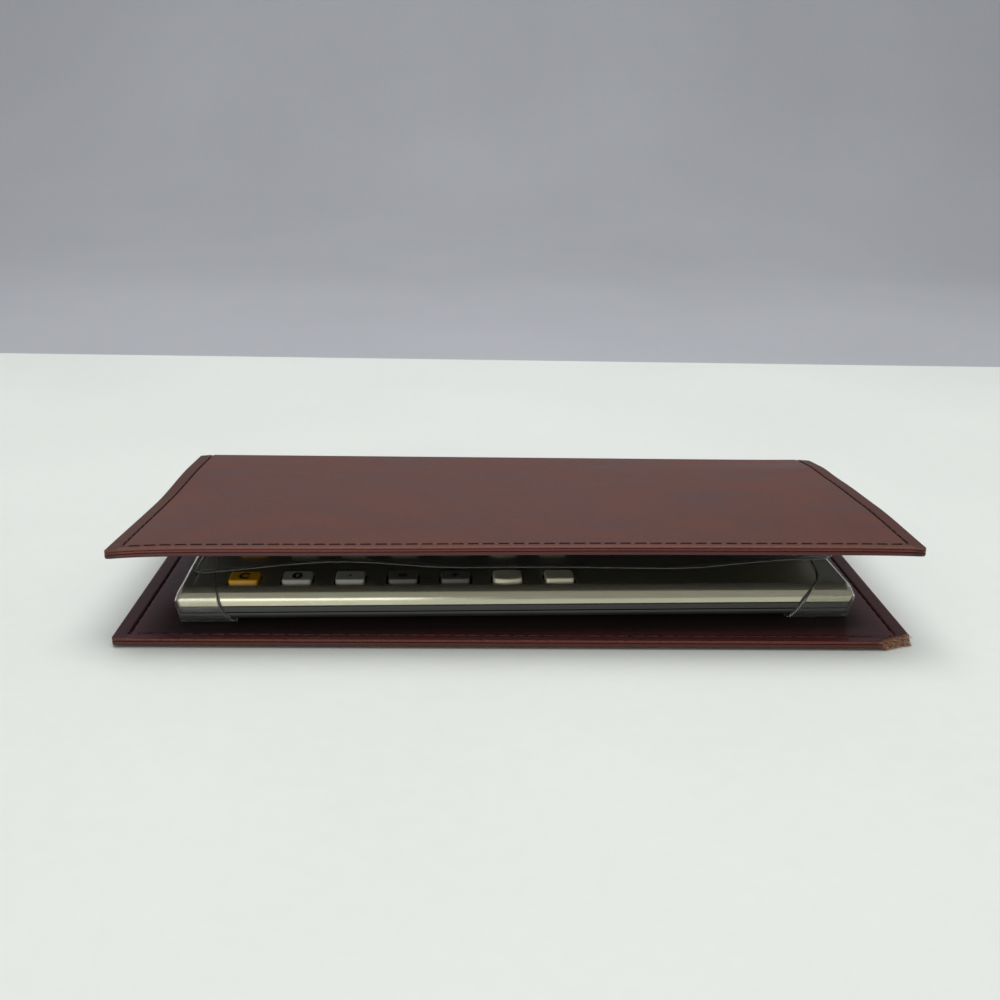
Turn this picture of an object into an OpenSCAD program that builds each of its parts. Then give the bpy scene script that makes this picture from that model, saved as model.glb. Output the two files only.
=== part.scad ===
// Checkbook calculator: a flat calculator in a clear pocket on the lower leaf of a
// folding leather check cover. Millimetres, +Z up, the fore edge faces -Y.
// The origin is on the table, under the middle of the closed cover.

/* [Leather leaves] */
// Width of both leaves, along the fold
leaf_w = 165.5; // [160:0.5:190]
// Depth of a leaf from its fore edge to the fold
leaf_d = 83.1; // [82:0.1:100]
// Thickness of the outer leather
skin_t = 0.6; // [0.4:0.1:1.2]
// Thickness of the stiffening board between the leathers
board_t = 0.4; // [0.3:0.1:1]
// Thickness of the inner leather of the lower leaf
lining_t = 1.0; // [0.8:0.1:1.6]
// Thickness of the check pocket's panel, taken out of the cover's lining
pocket_t = 0.6; // [0.3:0.1:0.7]
// Depth of the check pocket from the fore edge to its mouth
pocket_d = 66; // [50:1:78]
// How far the board stays back from the leather's edges
board_inset = 1.2; // [0.6:0.1:4]
// Corner radius of the leaves
leaf_r = 1; // [1:0.5:6]
// Length of the worn corner along the fore edge
wear_w = 6; // [2:0.5:10]
// Length of the worn corner along the side
wear_d = 3; // [1:0.5:8]

/* [Spine] */
// Height of the closed spine, from the table to its crest
spine_h = 15.7; // [15.2:0.1:24]
// Thickness of the leather at the spine
spine_t = 1.6; // [1:0.1:1.9]
// Gap between a leaf and the rolled edge of the spine
fold_gap = 0.3; // [0.2:0.05:0.8]
// Angle at which the cover stands open at rest, in degrees
cover_rest = 4.75; // [0:0.25:10]

/* [Calculator case] */
// Width of the calculator
calc_w = 144.9; // [143:0.1:152]
// Depth of the calculator
calc_d = 60; // [60:0.5:64]
// Corner radius of the case, seen from above
calc_r = 1.2; // [1:0.1:6]
// Distance from the fore edge of the leaf to the middle of the calculator's front
calc_front = 9.8; // [8:0.1:10]
// Distance from the middle of the leaf to the middle of the calculator, to the right
calc_right = 0.1; // [-3:0.1:3]
// Skew of the calculator in its sealed pocket, in degrees
calc_skew = 1.8; // [-2:0.1:2]
// Height of the bottom case
bottom_h = 1.75; // [1.7:0.05:2.5]
// Radius of the bottom case's rounded lower edge
foot_r = 1.6; // [0.5:0.1:1.6]
// Thickness of the bottom case's floor
floor_t = 1.0; // [0.9:0.05:1.2]
// Height of the frame that shows between the bottom case and the face plate
frame_h = 1.3; // [1.2:0.05:2.2]
// Wall of the bottom case
case_wall = 1.4; // [1:0.1:1.6]
// Wall of the frame inside the face plate
deck_wall = 0.7; // [0.5:0.05:0.8]
// How far the bottom case and the frame stay back from the ends of the face plate
body_in = 0.8; // [0:0.1:1]
// Depth of the groove around the parting line
groove = 0.4; // [0.2:0.05:0.6]
// Height of that groove
groove_h = 0.2; // [0.1:0.05:0.4]
// Height of the face plate, from its lower edge to its face
plate_h = 3.85; // [3.2:0.05:4.5]
// Thickness of the face plate's sheet
plate_t = 0.6; // [0.4:0.05:0.8]
// Outer radius of the face plate's rolled front and rear edges
roll_r = 2.6; // [1.5:0.1:2.8]
// Height of the slope at the ends of the face plate
end_h = 2.4; // [1:0.1:2.6]
// How far that slope runs in towards the face
end_in = 1.4; // [0.5:0.1:1.6]
// Thickness of the frame's deck under the face plate
deck_t = 0.9; // [0.7:0.05:1.1]
// Clearance between pieces of the case that slip into each other
case_clear = 0.1; // [0.05:0.01:0.2]

/* [Keys] */
// Width of a key cap
key_w = 6.25; // [5:0.05:7.5]
// Depth of a key cap
key_d = 5; // [4:0.1:6]
// Height of the key caps above the face
key_proud = 0.9; // [0.8:0.1:1.5]
// Corner radius of the key caps
key_r = 0.7; // [0.3:0.1:1.5]
// Height of the swell at the front and rear of a barrel key
key_bulge = 0.6; // [0.3:0.1:0.8]
// Distance from the left end of the calculator to the first column's middle
key_left = 13.7; // [13:0.1:16]
// Distance from the right end of the calculator to the last column's middle
key_right = 63.8; // [62:0.1:68]
// Distance from the front of the calculator to the first row's front
key_front = 3.2; // [2.6:0.1:3.6]
// Distance from the rear of the calculator to the last row's rear
key_rear = 4.8; // [3:0.1:10]
// Gap around a key cap
key_gap = 0.45; // [0.3:0.05:0.6]
// Thickness of the flange that holds a key under the deck
key_flange_t = 0.6; // [0.4:0.05:0.7]
// How far the flange reaches past the hole, all round
key_flange = 0.4; // [0.3:0.05:0.5]
// Clearance between a key's flange and the deck
key_seat = 0.05; // [0.02:0.01:0.1]
// Travel of a key
key_travel = 0.7; // [0.4:0.05:0.9]

/* [Display] */
// Width of the display window
window_w = 40; // [30:0.5:42]
// Depth of the display window
window_d = 15; // [10:0.5:16]
// Distance from the right end of the calculator to the window's middle
window_right = 30; // [29:0.5:32]
// Distance from the rear of the calculator to the window's middle
window_rear = 15.5; // [15:0.5:18]
// Thickness of the window pane
window_t = 0.9; // [0.6:0.05:1]
// Width of the ledge that carries the window pane
window_ledge = 1.2; // [0.8:0.1:2]
// Thickness of the liquid crystal glass
glass_t = 1.6; // [1:0.05:1.7]
// How far the glass reaches past the window, all round
glass_over = 2.5; // [1.5:0.1:2.9]

/* [Power switch] */
// Length of the slider's knob
knob_w = 6; // [4:0.1:6.5]
// Depth of the slider's knob
knob_d = 4; // [3:0.1:5]
// Height of the knob above the face
knob_h = 0.9; // [0.6:0.1:1.2]
// Length of the slider's stem in its slot
stem_w = 3; // [2:0.1:4]
// Depth of the slider's stem in its slot
stem_d = 1.6; // [1.2:0.1:2]
// Travel of the slider
slide_travel = 4; // [2:0.1:5]
// Distance from the right end of the calculator to the slider's place when off
slider_right = 19; // [17:0.5:21]
// Distance from the front of the calculator to the slider
slider_front = 24; // [22:0.5:26]

/* [Inside] */
// Thickness of the circuit board
pcb_t = 1.0; // [0.8:0.05:1.1]
// Distance from the ends of the calculator to the circuit board
pcb_inset = 6.4; // [6.2:0.1:8]
// Width of the logic chip
chip_w = 14; // [8:0.5:18]
// Height of the posts that carry the circuit board
post_h = 1.1; // [1:0.05:1.2]
// Diameter of those posts
post_d = 3; // [2:0.1:4]
// Distance from the circuit board's edges to the posts' middles
post_inset = 4; // [3:0.1:5]
// Thickness of the rubber key mat
mat_t = 0.4; // [0.3:0.05:0.5]
// Diameter of a button cell
cell_d = 11.6; // [9.5:0.1:11.8]
// Height of a button cell
cell_h = 3.05; // [2:0.05:3.2]
// Distance between the two cells
cell_pitch = 13; // [12.4:0.1:14]
// Distance from the right end of the calculator to the middle of the cells
cell_right = 38; // [36:0.5:42]
// Distance from the front of the calculator to the middle of the cells
cell_front = 11.5; // [11:0.5:13]
// Thickness of the battery contacts' strip
contact_t = 0.2; // [0.15:0.05:0.3]
// Width of that strip
contact_w = 6; // [3:0.5:8]
// Length of the foot by which a contact stands on the board
contact_foot = 1.6; // [1:0.1:2]
// Diameter of the case screws
screw_d = 1.6; // [1.2:0.1:2]
// Diameter of the screws' heads
screw_head_d = 3; // [2.6:0.1:3.2]
// Height of the screws' heads
screw_head_h = 0.5; // [0.3:0.05:0.6]
// Length of the screws' shanks above the heads
screw_l = 3.6; // [3:0.1:4]
// Distance from the case's edges to the screws
screw_inset = 3.1; // [3:0.05:3.3]

/* [Clear film] */
// Thickness of the clear pocket's film
film_t = 0.3; // [0.2:0.05:0.5]
// Clearance between the film and the case
film_clear = 0.1; // [0.05:0.01:0.2]
// Width of the sealed flange on the leather, beside and behind the calculator
film_flange = 2.5; // [1:0.1:5]
// Reach of the pocket's lips over the face at the front
lip_front_w = 8.9; // [5:0.1:10]
// Reach of the lips over the face further back
lip_w = 5; // [3:0.1:6]
// Depth over which a lip narrows
lip_taper = 25; // [10:1:40]
// Reach of the lips over the front at their lower edge
lip_low_w = 13; // [10:0.5:16]
// Thickness of the clear flap
flap_t = 0.25; // [0.2:0.05:0.4]
// Width of the clear flap
flap_w = 138; // [120:1:142]
// Distance from the calculator's front to the flap's free edge
flap_front = 2; // [0:0.5:8]
// Corner radius of the flap's free edge
flap_r = 5; // [2:0.5:10]
// Radius of the rolled bead along the flap's fold
flap_bead = 0.4; // [0.3:0.05:0.6]
// Height of the flap's fold above the key tops
flap_lift = 0.35; // [0.3:0.05:0.8]
// Angle at which the flap stands up at rest, in degrees
flap_rest = 1.6; // [1.5:0.1:2.5]

/* [Hidden] */
$fn = 48;
// Small overshoot of cuts past the faces that they open
cut = 1;

// Leaves and folds
leaf_t = skin_t + board_t + lining_t;
depth = leaf_d + fold_gap + spine_t;
fore_y = -depth / 2;
fold_y = depth / 2 - spine_t / 2;
low_fold_z = leaf_t / 2;
high_fold_z = spine_h - leaf_t / 2;

// Calculator, seen from above about its own middle, and from the leather up
middle_y = fore_y + calc_front + calc_d / 2;
front_y = -calc_d / 2;
rear_y = calc_d / 2;
calc_z = leaf_t + film_t + film_clear;
floor_z = calc_z + floor_t;
parting_z = calc_z + bottom_h;
plate_z = parting_z + frame_h;
face_z = plate_z + plate_h;
deck_z = face_z - plate_t;
under_deck_z = deck_z - deck_t;

// Keys
key_top_z = face_z + key_proud;
flange_top_z = under_deck_z - key_seat;
key_low_z = flange_top_z - key_flange_t;
pressed_z = key_low_z - key_travel;
cols = 7;
rows = 4;
col_pitch = (calc_w - key_left - key_right) / (cols - 1);
row_pitch = (calc_d - key_front - key_rear - key_d) / (rows - 1);
barrel_col = 5;
key_names = [
    ["key_clear", "key_clear_entry", "key_percent", "key_root"],
    ["key_0", "key_1", "key_4", "key_7"],
    ["key_point", "key_2", "key_5", "key_8"],
    ["key_equals", "key_3", "key_6", "key_9"],
    ["key_plus", "key_minus", "key_times", "key_divide"],
    ["key_recall", "key_memory_clear", "key_memory_minus", "key_memory_plus"],
    ["key_balance", "key_deposit", "key_check", "key_change_sign"],
];
col_colours = ["goldenrod", "gray", "gray", "gray", "dimgray", "darkkhaki", "darkkhaki"];

// Inside of the case
pcb_z = floor_z + post_h;
mat_z = pcb_z + pcb_t;
pcb_w = calc_w - 2 * pcb_inset;
frame_inset = plate_t + case_clear + deck_wall;
pcb_d = calc_d - 2 * (frame_inset + case_clear);
window_x = calc_w / 2 - window_right;
window_y = rear_y - window_rear;
slider_x = calc_w / 2 - slider_right;
slider_y = front_y + slider_front;
slot_w = stem_w + slide_travel + 2 * key_gap;
slot_x = slider_x + slide_travel / 2;
cell_x = calc_w / 2 - cell_right;
cell_y = front_y + cell_front;
cell_z = floor_z + contact_t;
cell_room = case_clear * 5;
door_w = cell_pitch + cell_d + 2 * cell_room;
door_d = cell_d + 2 * cell_room;
boss_d = screw_d + 2;
screw_tip_z = calc_z + screw_head_h + screw_l;

// Clear film
flap_fold_z = key_top_z + flap_lift + flap_t / 2;
flap_fold_y = rear_y + film_clear + film_t / 2;
flap_l = flap_fold_y - front_y - flap_front;

// Shapes that repeat

// A rectangle with round corners, centred
module round_rect(w, d, r) {
    square([w - 2 * r, d], center = true);
    square([w, d - 2 * r], center = true);
    for (x = [-1, 1], y = [-1, 1])
        translate([x * (w / 2 - r), y * (d / 2 - r)])
            circle(r);
}

// One layer of a leaf: its fore edge at y = 0 and its fold end at y = leaf_d, set back all round
module leaf_layer(z, t, inset, d = leaf_d) {
    translate([0, d / 2, z])
        linear_extrude(t)
            round_rect(leaf_w - 2 * inset, d - 2 * inset, leaf_r);
}

// The worn right front corner, as a prism to cut off
module worn_corner() {
    translate([leaf_w / 2, 0, -cut])
        linear_extrude(leaf_t + 2 * cut)
            polygon([[-wear_w, -cut], [-wear_w, 0], [0, wear_d], [cut, wear_d], [cut, -cut]]);
}

// Puts a layer of the lower leaf in its place
module on_base() {
    translate([0, fore_y, 0])
        children();
}

// Puts a layer of the cover in its place, drawn with its lower face at z = 0 and its fore edge at y = 0
module on_cover() {
    translate([0, fold_y, high_fold_z])
        rotate([-cover_rest, 0, 0])
            translate([0, fore_y - fold_y, -leaf_t / 2])
                children();
}

// Puts a piece of the calculator or its pocket in its place, drawn about the calculator's middle
module on_calculator() {
    translate([calc_right, middle_y, 0])
        rotate([0, 0, calc_skew])
            children();
}

// The outline of the case seen from above, grown by g
module case_outline(g) {
    round_rect(calc_w + 2 * g, calc_d + 2 * g, max(calc_r + g, 0.3));
}

// A slab of the case's outline, from z up by h, grown by g
module case_slab(z, h, g) {
    translate([0, 0, z])
        linear_extrude(h)
            case_outline(g);
}

// A slab of the lower body's outline, which is shorter than the face plate, from z up by h, grown by g
module body_slab(z, h, g) {
    translate([0, 0, z])
        linear_extrude(h)
            round_rect(calc_w - 2 * body_in + 2 * g, calc_d + 2 * g, max(calc_r + g, 0.3));
}

// A slab w wide with rolled upper edges, seen from its end, grown by g
module rolled_profile(w, low, g) {
    d = w + 2 * g;
    r = roll_r + g;
    top = face_z + g;
    translate([-d / 2, low])
        square([d, top - r - low]);
    translate([-d / 2 + r, low])
        square([d - 2 * r, top - low]);
    for (s = [-1, 1])
        translate([s * (d / 2 - r), top - r])
            circle(r);
}

// A slab w wide whose upper edges slope, seen from its front, grown by g
module sloped_profile(w, low, g) {
    half = w / 2 + g;
    top = face_z + g;
    run = norm([end_in, end_h]);
    slope_z = face_z - end_h + g * (run - end_h) / end_in;
    slope_x = w / 2 - end_in + g * (run - end_in) / end_h;
    polygon([
        [-half, low],
        [half, low],
        [half, slope_z],
        [slope_x, top],
        [-slope_x, top],
        [-half, slope_z],
    ]);
}

// A slab w wide with rounded lower edges, seen from its end
module footed_profile(w) {
    translate([-w / 2, calc_z + foot_r])
        square([w, bottom_h - foot_r]);
    translate([foot_r - w / 2, calc_z])
        square([w - 2 * foot_r, bottom_h]);
    for (s = [-1, 1])
        translate([s * (w / 2 - foot_r), calc_z + foot_r])
            circle(foot_r);
}

// Draws an end view along the whole width of the calculator
module along_width() {
    translate([-calc_w, 0, 0])
        rotate([90, 0, 90])
            linear_extrude(2 * calc_w)
                children();
}

// Draws a front view along the whole depth of the calculator
module along_depth() {
    translate([0, calc_d, 0])
        rotate([90, 0, 0])
            linear_extrude(2 * calc_d)
                children();
}

// A solid of the case's outline, rolled at front and rear and sloped at its ends, from low up, grown by g
module rolled_solid(low, g) {
    intersection() {
        along_width()
            rolled_profile(calc_d, low, g);
        along_depth()
            sloped_profile(calc_w, low, g);
        case_slab(low, face_z + g - low + cut, g);
    }
}

// A solid of the bottom case's outline whose lower edges are rounded
module footed_solid() {
    intersection() {
        along_width()
            footed_profile(calc_d);
        along_depth()
            footed_profile(calc_w - 2 * body_in);
        body_slab(calc_z, bottom_h, 0);
    }
}

function key_x(c) = -calc_w / 2 + key_left + c * col_pitch;
function key_y(r) = front_y + key_front + key_d / 2 + r * row_pitch;

// Outline of a key in column c, grown by g: a round rectangle, or a barrel with swollen front and rear
module key_outline(c, g) {
    swell_r = (key_w * key_w / 8 + key_bulge * key_bulge / 2) / key_bulge;
    swell_y = (key_d + key_bulge) / 2 - swell_r;
    if (c == barrel_col)
        intersection() {
            square([key_w + 2 * g, key_d + key_bulge + 2 * g + cut], center = true);
            translate([0, swell_y])
                circle(swell_r + g);
            translate([0, -swell_y])
                circle(swell_r + g);
        }
    else
        round_rect(key_w + 2 * g, key_d + 2 * g, key_r + g);
}

// Everything that passes through the face: key holes, the display window and the slider's slot
module face_openings() {
    for (c = [0 : cols - 1], r = [0 : rows - 1])
        translate([key_x(c), key_y(r)])
            key_outline(c, key_gap);
    translate([window_x, window_y])
        square([window_w, window_d], center = true);
    translate([slot_x, slider_y])
        square([slot_w, stem_d + 2 * key_gap], center = true);
}

module screw_places() {
    for (x = [-1, 1], y = [-1, 1])
        translate([x * (calc_w / 2 - body_in - screw_inset), y * (calc_d / 2 - screw_inset), 0])
            children();
}

module post_places() {
    for (x = [-1, 0, 1], y = [-1, 1])
        translate([x * (pcb_w / 2 - post_inset), y * (pcb_d / 2 - post_inset), 0])
            children();
}

// The cover, from its outer leather in

module cover_skin() {
    color("#5c3531")
        on_cover()
            leaf_layer(leaf_t - skin_t, skin_t, 0);
}

module cover_board() {
    color("#8c7c66")
        on_cover()
            leaf_layer(lining_t, board_t, board_inset);
}

module cover_lining() {
    color("#4a2a28")
        on_cover()
            leaf_layer(pocket_t, lining_t - pocket_t, 0);
}

module check_pocket() {
    color("#4a2a28")
        on_cover()
            leaf_layer(0, pocket_t, 0, pocket_d);
}

// The spine strip, with a rolled edge on each fold line
module spine() {
    span = high_fold_z - low_fold_z;
    color("#5c3531")
        translate([0, fold_y, low_fold_z])
            rotate([90, 0, 90])
                linear_extrude(leaf_w, center = true) {
                    translate([-spine_t / 2, 0])
                        square([spine_t, span]);
                    circle(spine_t / 2);
                    translate([0, span])
                        circle(spine_t / 2);
                }
}

// The lower leaf

module base_skin() {
    color("#5c3531")
        on_base()
            difference() {
                leaf_layer(0, skin_t, 0);
                worn_corner();
            }
}

module base_board() {
    color("#8c7c66")
        on_base()
            difference() {
                leaf_layer(skin_t, board_t, board_inset);
                translate([-board_inset, board_inset, 0])
                    worn_corner();
            }
}

module base_lining() {
    color("#4a2a28")
        on_base()
            difference() {
                leaf_layer(skin_t + board_t, lining_t, 0);
                worn_corner();
            }
}

// The clear pocket: a floor sealed to the leather, walls, and lips over both ends of the calculator
module clear_pocket() {
    grow = film_clear + film_t;
    half = calc_w / 2 + grow;
    back_y = rear_y + film_clear;
    color("lightcyan", 0.4) {
        translate([0, film_flange / 2, leaf_t])
            linear_extrude(film_t)
                round_rect(2 * (half + film_flange), calc_d + 2 * grow + film_flange, calc_r + grow);
        difference() {
            rolled_solid(leaf_t + film_t, grow);
            rolled_solid(leaf_t, film_clear);
            translate([0, 0, face_z - roll_r])
                linear_extrude(roll_r + 2 * grow)
                    polygon([
                        [lip_front_w - half, front_y - grow - cut],
                        [half - lip_front_w, front_y - grow - cut],
                        [half - lip_front_w, front_y + roll_r],
                        [half - lip_w, front_y + roll_r + lip_taper],
                        [half - lip_w, back_y],
                        [lip_w - half, back_y],
                        [lip_w - half, front_y + roll_r + lip_taper],
                        [lip_front_w - half, front_y + roll_r],
                    ]);
            translate([0, front_y, 0])
                rotate([90, 0, 0])
                    linear_extrude(2 * (grow + cut), center = true)
                        polygon([
                            [lip_low_w - half, leaf_t + film_t],
                            [half - lip_low_w, leaf_t + film_t],
                            [half - lip_front_w, face_z - roll_r],
                            [lip_front_w - half, face_z - roll_r],
                        ]);
        }
        translate([-flap_w / 2, back_y, leaf_t + film_t])
            cube([flap_w, film_t, flap_fold_z - flap_bead - film_clear - leaf_t - film_t]);
    }
}

// The clear flap, folding on a bead along the rear of the pocket
module clear_flap() {
    color("lightcyan", 0.4)
        translate([0, flap_fold_y, flap_fold_z])
            rotate([-flap_rest, 0, 0]) {
                translate([0, -flap_l / 2, -flap_t / 2])
                    linear_extrude(flap_t) {
                        translate([0, flap_r / 2])
                            square([flap_w, flap_l - flap_r], center = true);
                        square([flap_w - 2 * flap_r, flap_l], center = true);
                        for (s = [-1, 1])
                            translate([s * (flap_w / 2 - flap_r), flap_r - flap_l / 2])
                                circle(flap_r);
                    }
                rotate([0, 90, 0])
                    cylinder(h = flap_w, r = flap_bead, center = true);
            }
}

// The calculator's case

module bottom_case() {
    color("#2e2f2c")
        difference() {
            union() {
                difference() {
                    footed_solid();
                    body_slab(floor_z, bottom_h, -case_wall);
                }
                post_places()
                    translate([0, 0, floor_z])
                        cylinder(h = post_h, d = post_d);
                screw_places()
                    translate([0, 0, calc_z + floor_t / 2])
                        cylinder(h = bottom_h - floor_t / 2, d = boss_d);
            }
            translate([cell_x, cell_y, calc_z - cut])
                linear_extrude(floor_t + 2 * cut)
                    square([door_w + 2 * case_clear, door_d + 2 * case_clear], center = true);
            screw_places()
                translate([0, 0, calc_z - cut]) {
                    cylinder(h = screw_head_h + case_clear + cut, d = screw_head_d + 2 * case_clear);
                    cylinder(h = bottom_h + 2 * cut, d = screw_d + 2 * case_clear);
                }
        }
}

// The frame: a groove on the parting line, a visible band, and a deck inside the face plate
module mid_frame() {
    ledge_z = deck_z + plate_t - window_t;
    color("#383933")
        difference() {
            union() {
                body_slab(parting_z, groove_h, -groove);
                body_slab(parting_z + groove_h, frame_h - groove_h, 0);
                rolled_solid(plate_z, -plate_t - case_clear);
            }
            difference() {
                translate([0, 0, parting_z - cut])
                    linear_extrude(under_deck_z - parting_z + cut)
                        square([calc_w - 2 * (frame_inset + end_in), calc_d - 2 * frame_inset], center = true);
                screw_places()
                    translate([0, 0, floor_z])
                        cylinder(h = under_deck_z, d = boss_d);
            }
            screw_places()
                translate([0, 0, parting_z - cut])
                    cylinder(h = screw_tip_z + case_clear - parting_z + cut, d = screw_d + case_clear);
            translate([0, 0, under_deck_z - cut])
                linear_extrude(deck_t + 2 * cut)
                    difference() {
                        face_openings();
                        translate([window_x, window_y])
                            square([window_w, window_d], center = true);
                    }
            translate([window_x, window_y, under_deck_z - cut])
                linear_extrude(deck_t + 2 * cut)
                    square([window_w - 2 * window_ledge, window_d - 2 * window_ledge], center = true);
            translate([window_x, window_y, ledge_z])
                linear_extrude(deck_t)
                    square([window_w, window_d], center = true);
        }
}

// The metal face plate: a thin sheet rolled down at front and rear and sloped at its ends
module face_plate() {
    color("#b9b596")
        difference() {
            rolled_solid(plate_z, 0);
            rolled_solid(plate_z - cut, -plate_t);
            translate([0, 0, deck_z - cut])
                linear_extrude(plate_t + 2 * cut)
                    face_openings();
        }
}

// The display

module display_window() {
    color("gainsboro", 0.4)
        translate([window_x, window_y, face_z - window_t])
            linear_extrude(window_t)
                square([window_w - 2 * case_clear, window_d - 2 * case_clear], center = true);
}

module display_glass() {
    color("#8d9384")
        translate([window_x, window_y, under_deck_z - glass_t])
            linear_extrude(glass_t)
                square([window_w + 2 * glass_over, window_d + 2 * glass_over], center = true);
}

// The striped rubber strips that join the glass to the circuit board, along both long edges
module contact_strip() {
    strip_d = glass_over - case_clear;
    color("darkslategray")
        for (s = [-1, 1])
            translate([window_x, window_y + s * (window_d / 2 + glass_over - strip_d / 2), mat_z])
                linear_extrude(under_deck_z - glass_t - mat_z)
                    square([window_w, strip_d], center = true);
}

// The inside of the case

module circuit_board() {
    color("#3f5a3a")
        translate([0, 0, pcb_z])
            linear_extrude(pcb_t)
                difference() {
                    square([pcb_w, pcb_d], center = true);
                    translate([cell_x, cell_y])
                        square([door_w, door_d], center = true);
                }
}

// The logic chip under the circuit board
module logic_chip() {
    color("#1c1c1c")
        translate([(key_x(0) + key_x(cols - 1)) / 2, 0, pcb_z - post_h + case_clear])
            linear_extrude(post_h - case_clear)
                square(chip_w, center = true);
}

// The rubber mat on the circuit board, with a pad under each key
module key_mat() {
    margin = key_flange + key_gap;
    span_w = (cols - 1) * col_pitch + key_w + 2 * margin;
    span_d = (rows - 1) * row_pitch + key_d + 2 * margin;
    color("#55544e")
        translate([key_x(0) - key_w / 2 - margin, key_y(0) - key_d / 2 - margin, mat_z]) {
            cube([span_w, span_d, mat_t]);
            for (c = [0 : cols - 1], r = [0 : rows - 1])
                translate([margin + key_w / 2 + c * col_pitch, margin + key_d / 2 + r * row_pitch, 0])
                    cylinder(h = pressed_z - key_seat - mat_z, d = key_d);
        }
}

module button_cells() {
    color("silver")
        for (s = [-1, 1])
            translate([cell_x + s * cell_pitch / 2, cell_y, cell_z])
                cylinder(h = cell_h, d = cell_d);
}

module battery_door() {
    color("#2e2f2c")
        translate([cell_x, cell_y, calc_z])
            linear_extrude(floor_t)
                square([door_w, door_d], center = true);
}

// A link strip on the door that joins the cells, and a spring from the board over each cell
module battery_contacts() {
    reach = cell_d / 2;
    leg_x = door_w / 2 + contact_t;
    color("khaki") {
        translate([cell_x, cell_y, floor_z])
            linear_extrude(contact_t)
                square([cell_pitch + reach, contact_w], center = true);
        for (s = [-1, 1])
            translate([cell_x, cell_y, 0])
                mirror([s < 0 ? 1 : 0, 0, 0]) {
                    translate([leg_x - reach, -contact_w / 2, cell_z + cell_h])
                        cube([reach + contact_t, contact_w, contact_t]);
                    translate([leg_x, -contact_w / 2, mat_z])
                        cube([contact_t, contact_w, cell_z + cell_h + contact_t - mat_z]);
                    translate([leg_x, -contact_w / 2, mat_z])
                        cube([contact_foot, contact_w, contact_t]);
                }
    }
}

module case_screws() {
    color("silver")
        screw_places()
            translate([0, 0, calc_z]) {
                cylinder(h = screw_head_h, d = screw_head_d);
                cylinder(h = screw_head_h + screw_l, d = screw_d);
            }
}

// The power switch: a slider through the face, held under the deck, and the switch that it moves

module power_slider() {
    flange_w = stem_w + slide_travel;
    color("#2e2f2c")
        translate([slider_x, slider_y, 0]) {
            translate([0, 0, face_z + key_seat])
                linear_extrude(knob_h)
                    square([knob_w, knob_d], center = true);
            translate([0, 0, flange_top_z])
                linear_extrude(face_z + knob_h - flange_top_z)
                    square([stem_w, stem_d], center = true);
            translate([0, 0, key_low_z])
                linear_extrude(key_flange_t)
                    square([flange_w, knob_d], center = true);
        }
}

module slide_switch() {
    color("#1c1c1c")
        translate([slot_x, slider_y, mat_z])
            linear_extrude(key_low_z - key_seat - mat_z)
                square([slot_w, knob_d], center = true);
}

// A key: its cap through the face and its flange under the deck
module key(c, r) {
    color(col_colours[c])
        translate([key_x(c), key_y(r), 0]) {
            translate([0, 0, key_low_z])
                linear_extrude(key_flange_t)
                    key_outline(c, key_gap + key_flange);
            translate([0, 0, key_low_z])
                linear_extrude(key_top_z - key_low_z)
                    key_outline(c, 0);
        }
}

cover_skin();
cover_board();
cover_lining();
check_pocket();
spine();
base_skin();
base_board();
base_lining();
on_calculator() clear_pocket();
on_calculator() clear_flap();
on_calculator() bottom_case();
on_calculator() mid_frame();
on_calculator() face_plate();
on_calculator() display_window();
on_calculator() display_glass();
on_calculator() contact_strip();
on_calculator() circuit_board();
on_calculator() logic_chip();
on_calculator() key_mat();
on_calculator() button_cells();
on_calculator() battery_door();
on_calculator() battery_contacts();
on_calculator() case_screws();
on_calculator() power_slider();
on_calculator() slide_switch();
for (c = [0 : cols - 1], r = [0 : rows - 1])
    on_calculator() key(c, r);
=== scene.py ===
"""A checkbook calculator: a flat calculator in a clear pocket inside a folding leather check cover."""

import math
import random

import bmesh
import bpy
import numpy as np
from mathutils import Matrix, Vector


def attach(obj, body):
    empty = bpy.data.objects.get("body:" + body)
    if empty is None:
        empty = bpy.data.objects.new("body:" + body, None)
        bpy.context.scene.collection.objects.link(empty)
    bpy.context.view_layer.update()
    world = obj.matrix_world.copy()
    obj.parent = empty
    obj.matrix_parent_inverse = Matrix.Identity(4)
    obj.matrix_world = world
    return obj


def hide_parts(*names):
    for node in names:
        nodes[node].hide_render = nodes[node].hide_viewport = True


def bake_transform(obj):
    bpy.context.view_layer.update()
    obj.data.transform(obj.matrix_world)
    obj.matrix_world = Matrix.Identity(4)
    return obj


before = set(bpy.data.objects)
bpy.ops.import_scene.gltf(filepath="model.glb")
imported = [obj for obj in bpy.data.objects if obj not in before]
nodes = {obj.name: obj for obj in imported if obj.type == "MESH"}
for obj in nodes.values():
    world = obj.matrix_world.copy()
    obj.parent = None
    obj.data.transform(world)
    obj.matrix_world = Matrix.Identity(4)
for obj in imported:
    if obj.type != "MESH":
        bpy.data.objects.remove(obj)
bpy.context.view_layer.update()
scene = bpy.context.scene
scene.view_settings.view_transform = "Standard"

# Camera. The photo was taken by hand from in front of the fore edge, a little above the cover.
# Place, turn and lens were fitted to the corners of both leaves and of the calculator.
camera_at = Vector((-0.01027, -0.24613, 0.10345))
pitch = math.radians(19.198)
yaw = math.radians(1.745)
roll = math.radians(1.046)


def linked(name, data):
    """A new object of the scene with that data."""
    made = bpy.data.objects.new(name, data)
    scene.collection.objects.link(made)
    return made


lens = bpy.data.cameras.new("photo_camera")
lens.sensor_width = 36
lens.lens = 39.6
lens.clip_start = 0.005
camera = linked("photo_camera", lens)
aimed = Matrix.Rotation(-yaw, 4, "Z") @ Matrix.Rotation(math.pi / 2 - pitch, 4, "X")
camera.matrix_world = Matrix.Translation(camera_at) @ aimed @ Matrix.Rotation(roll, 4, "Z")
scene.camera = camera

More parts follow.
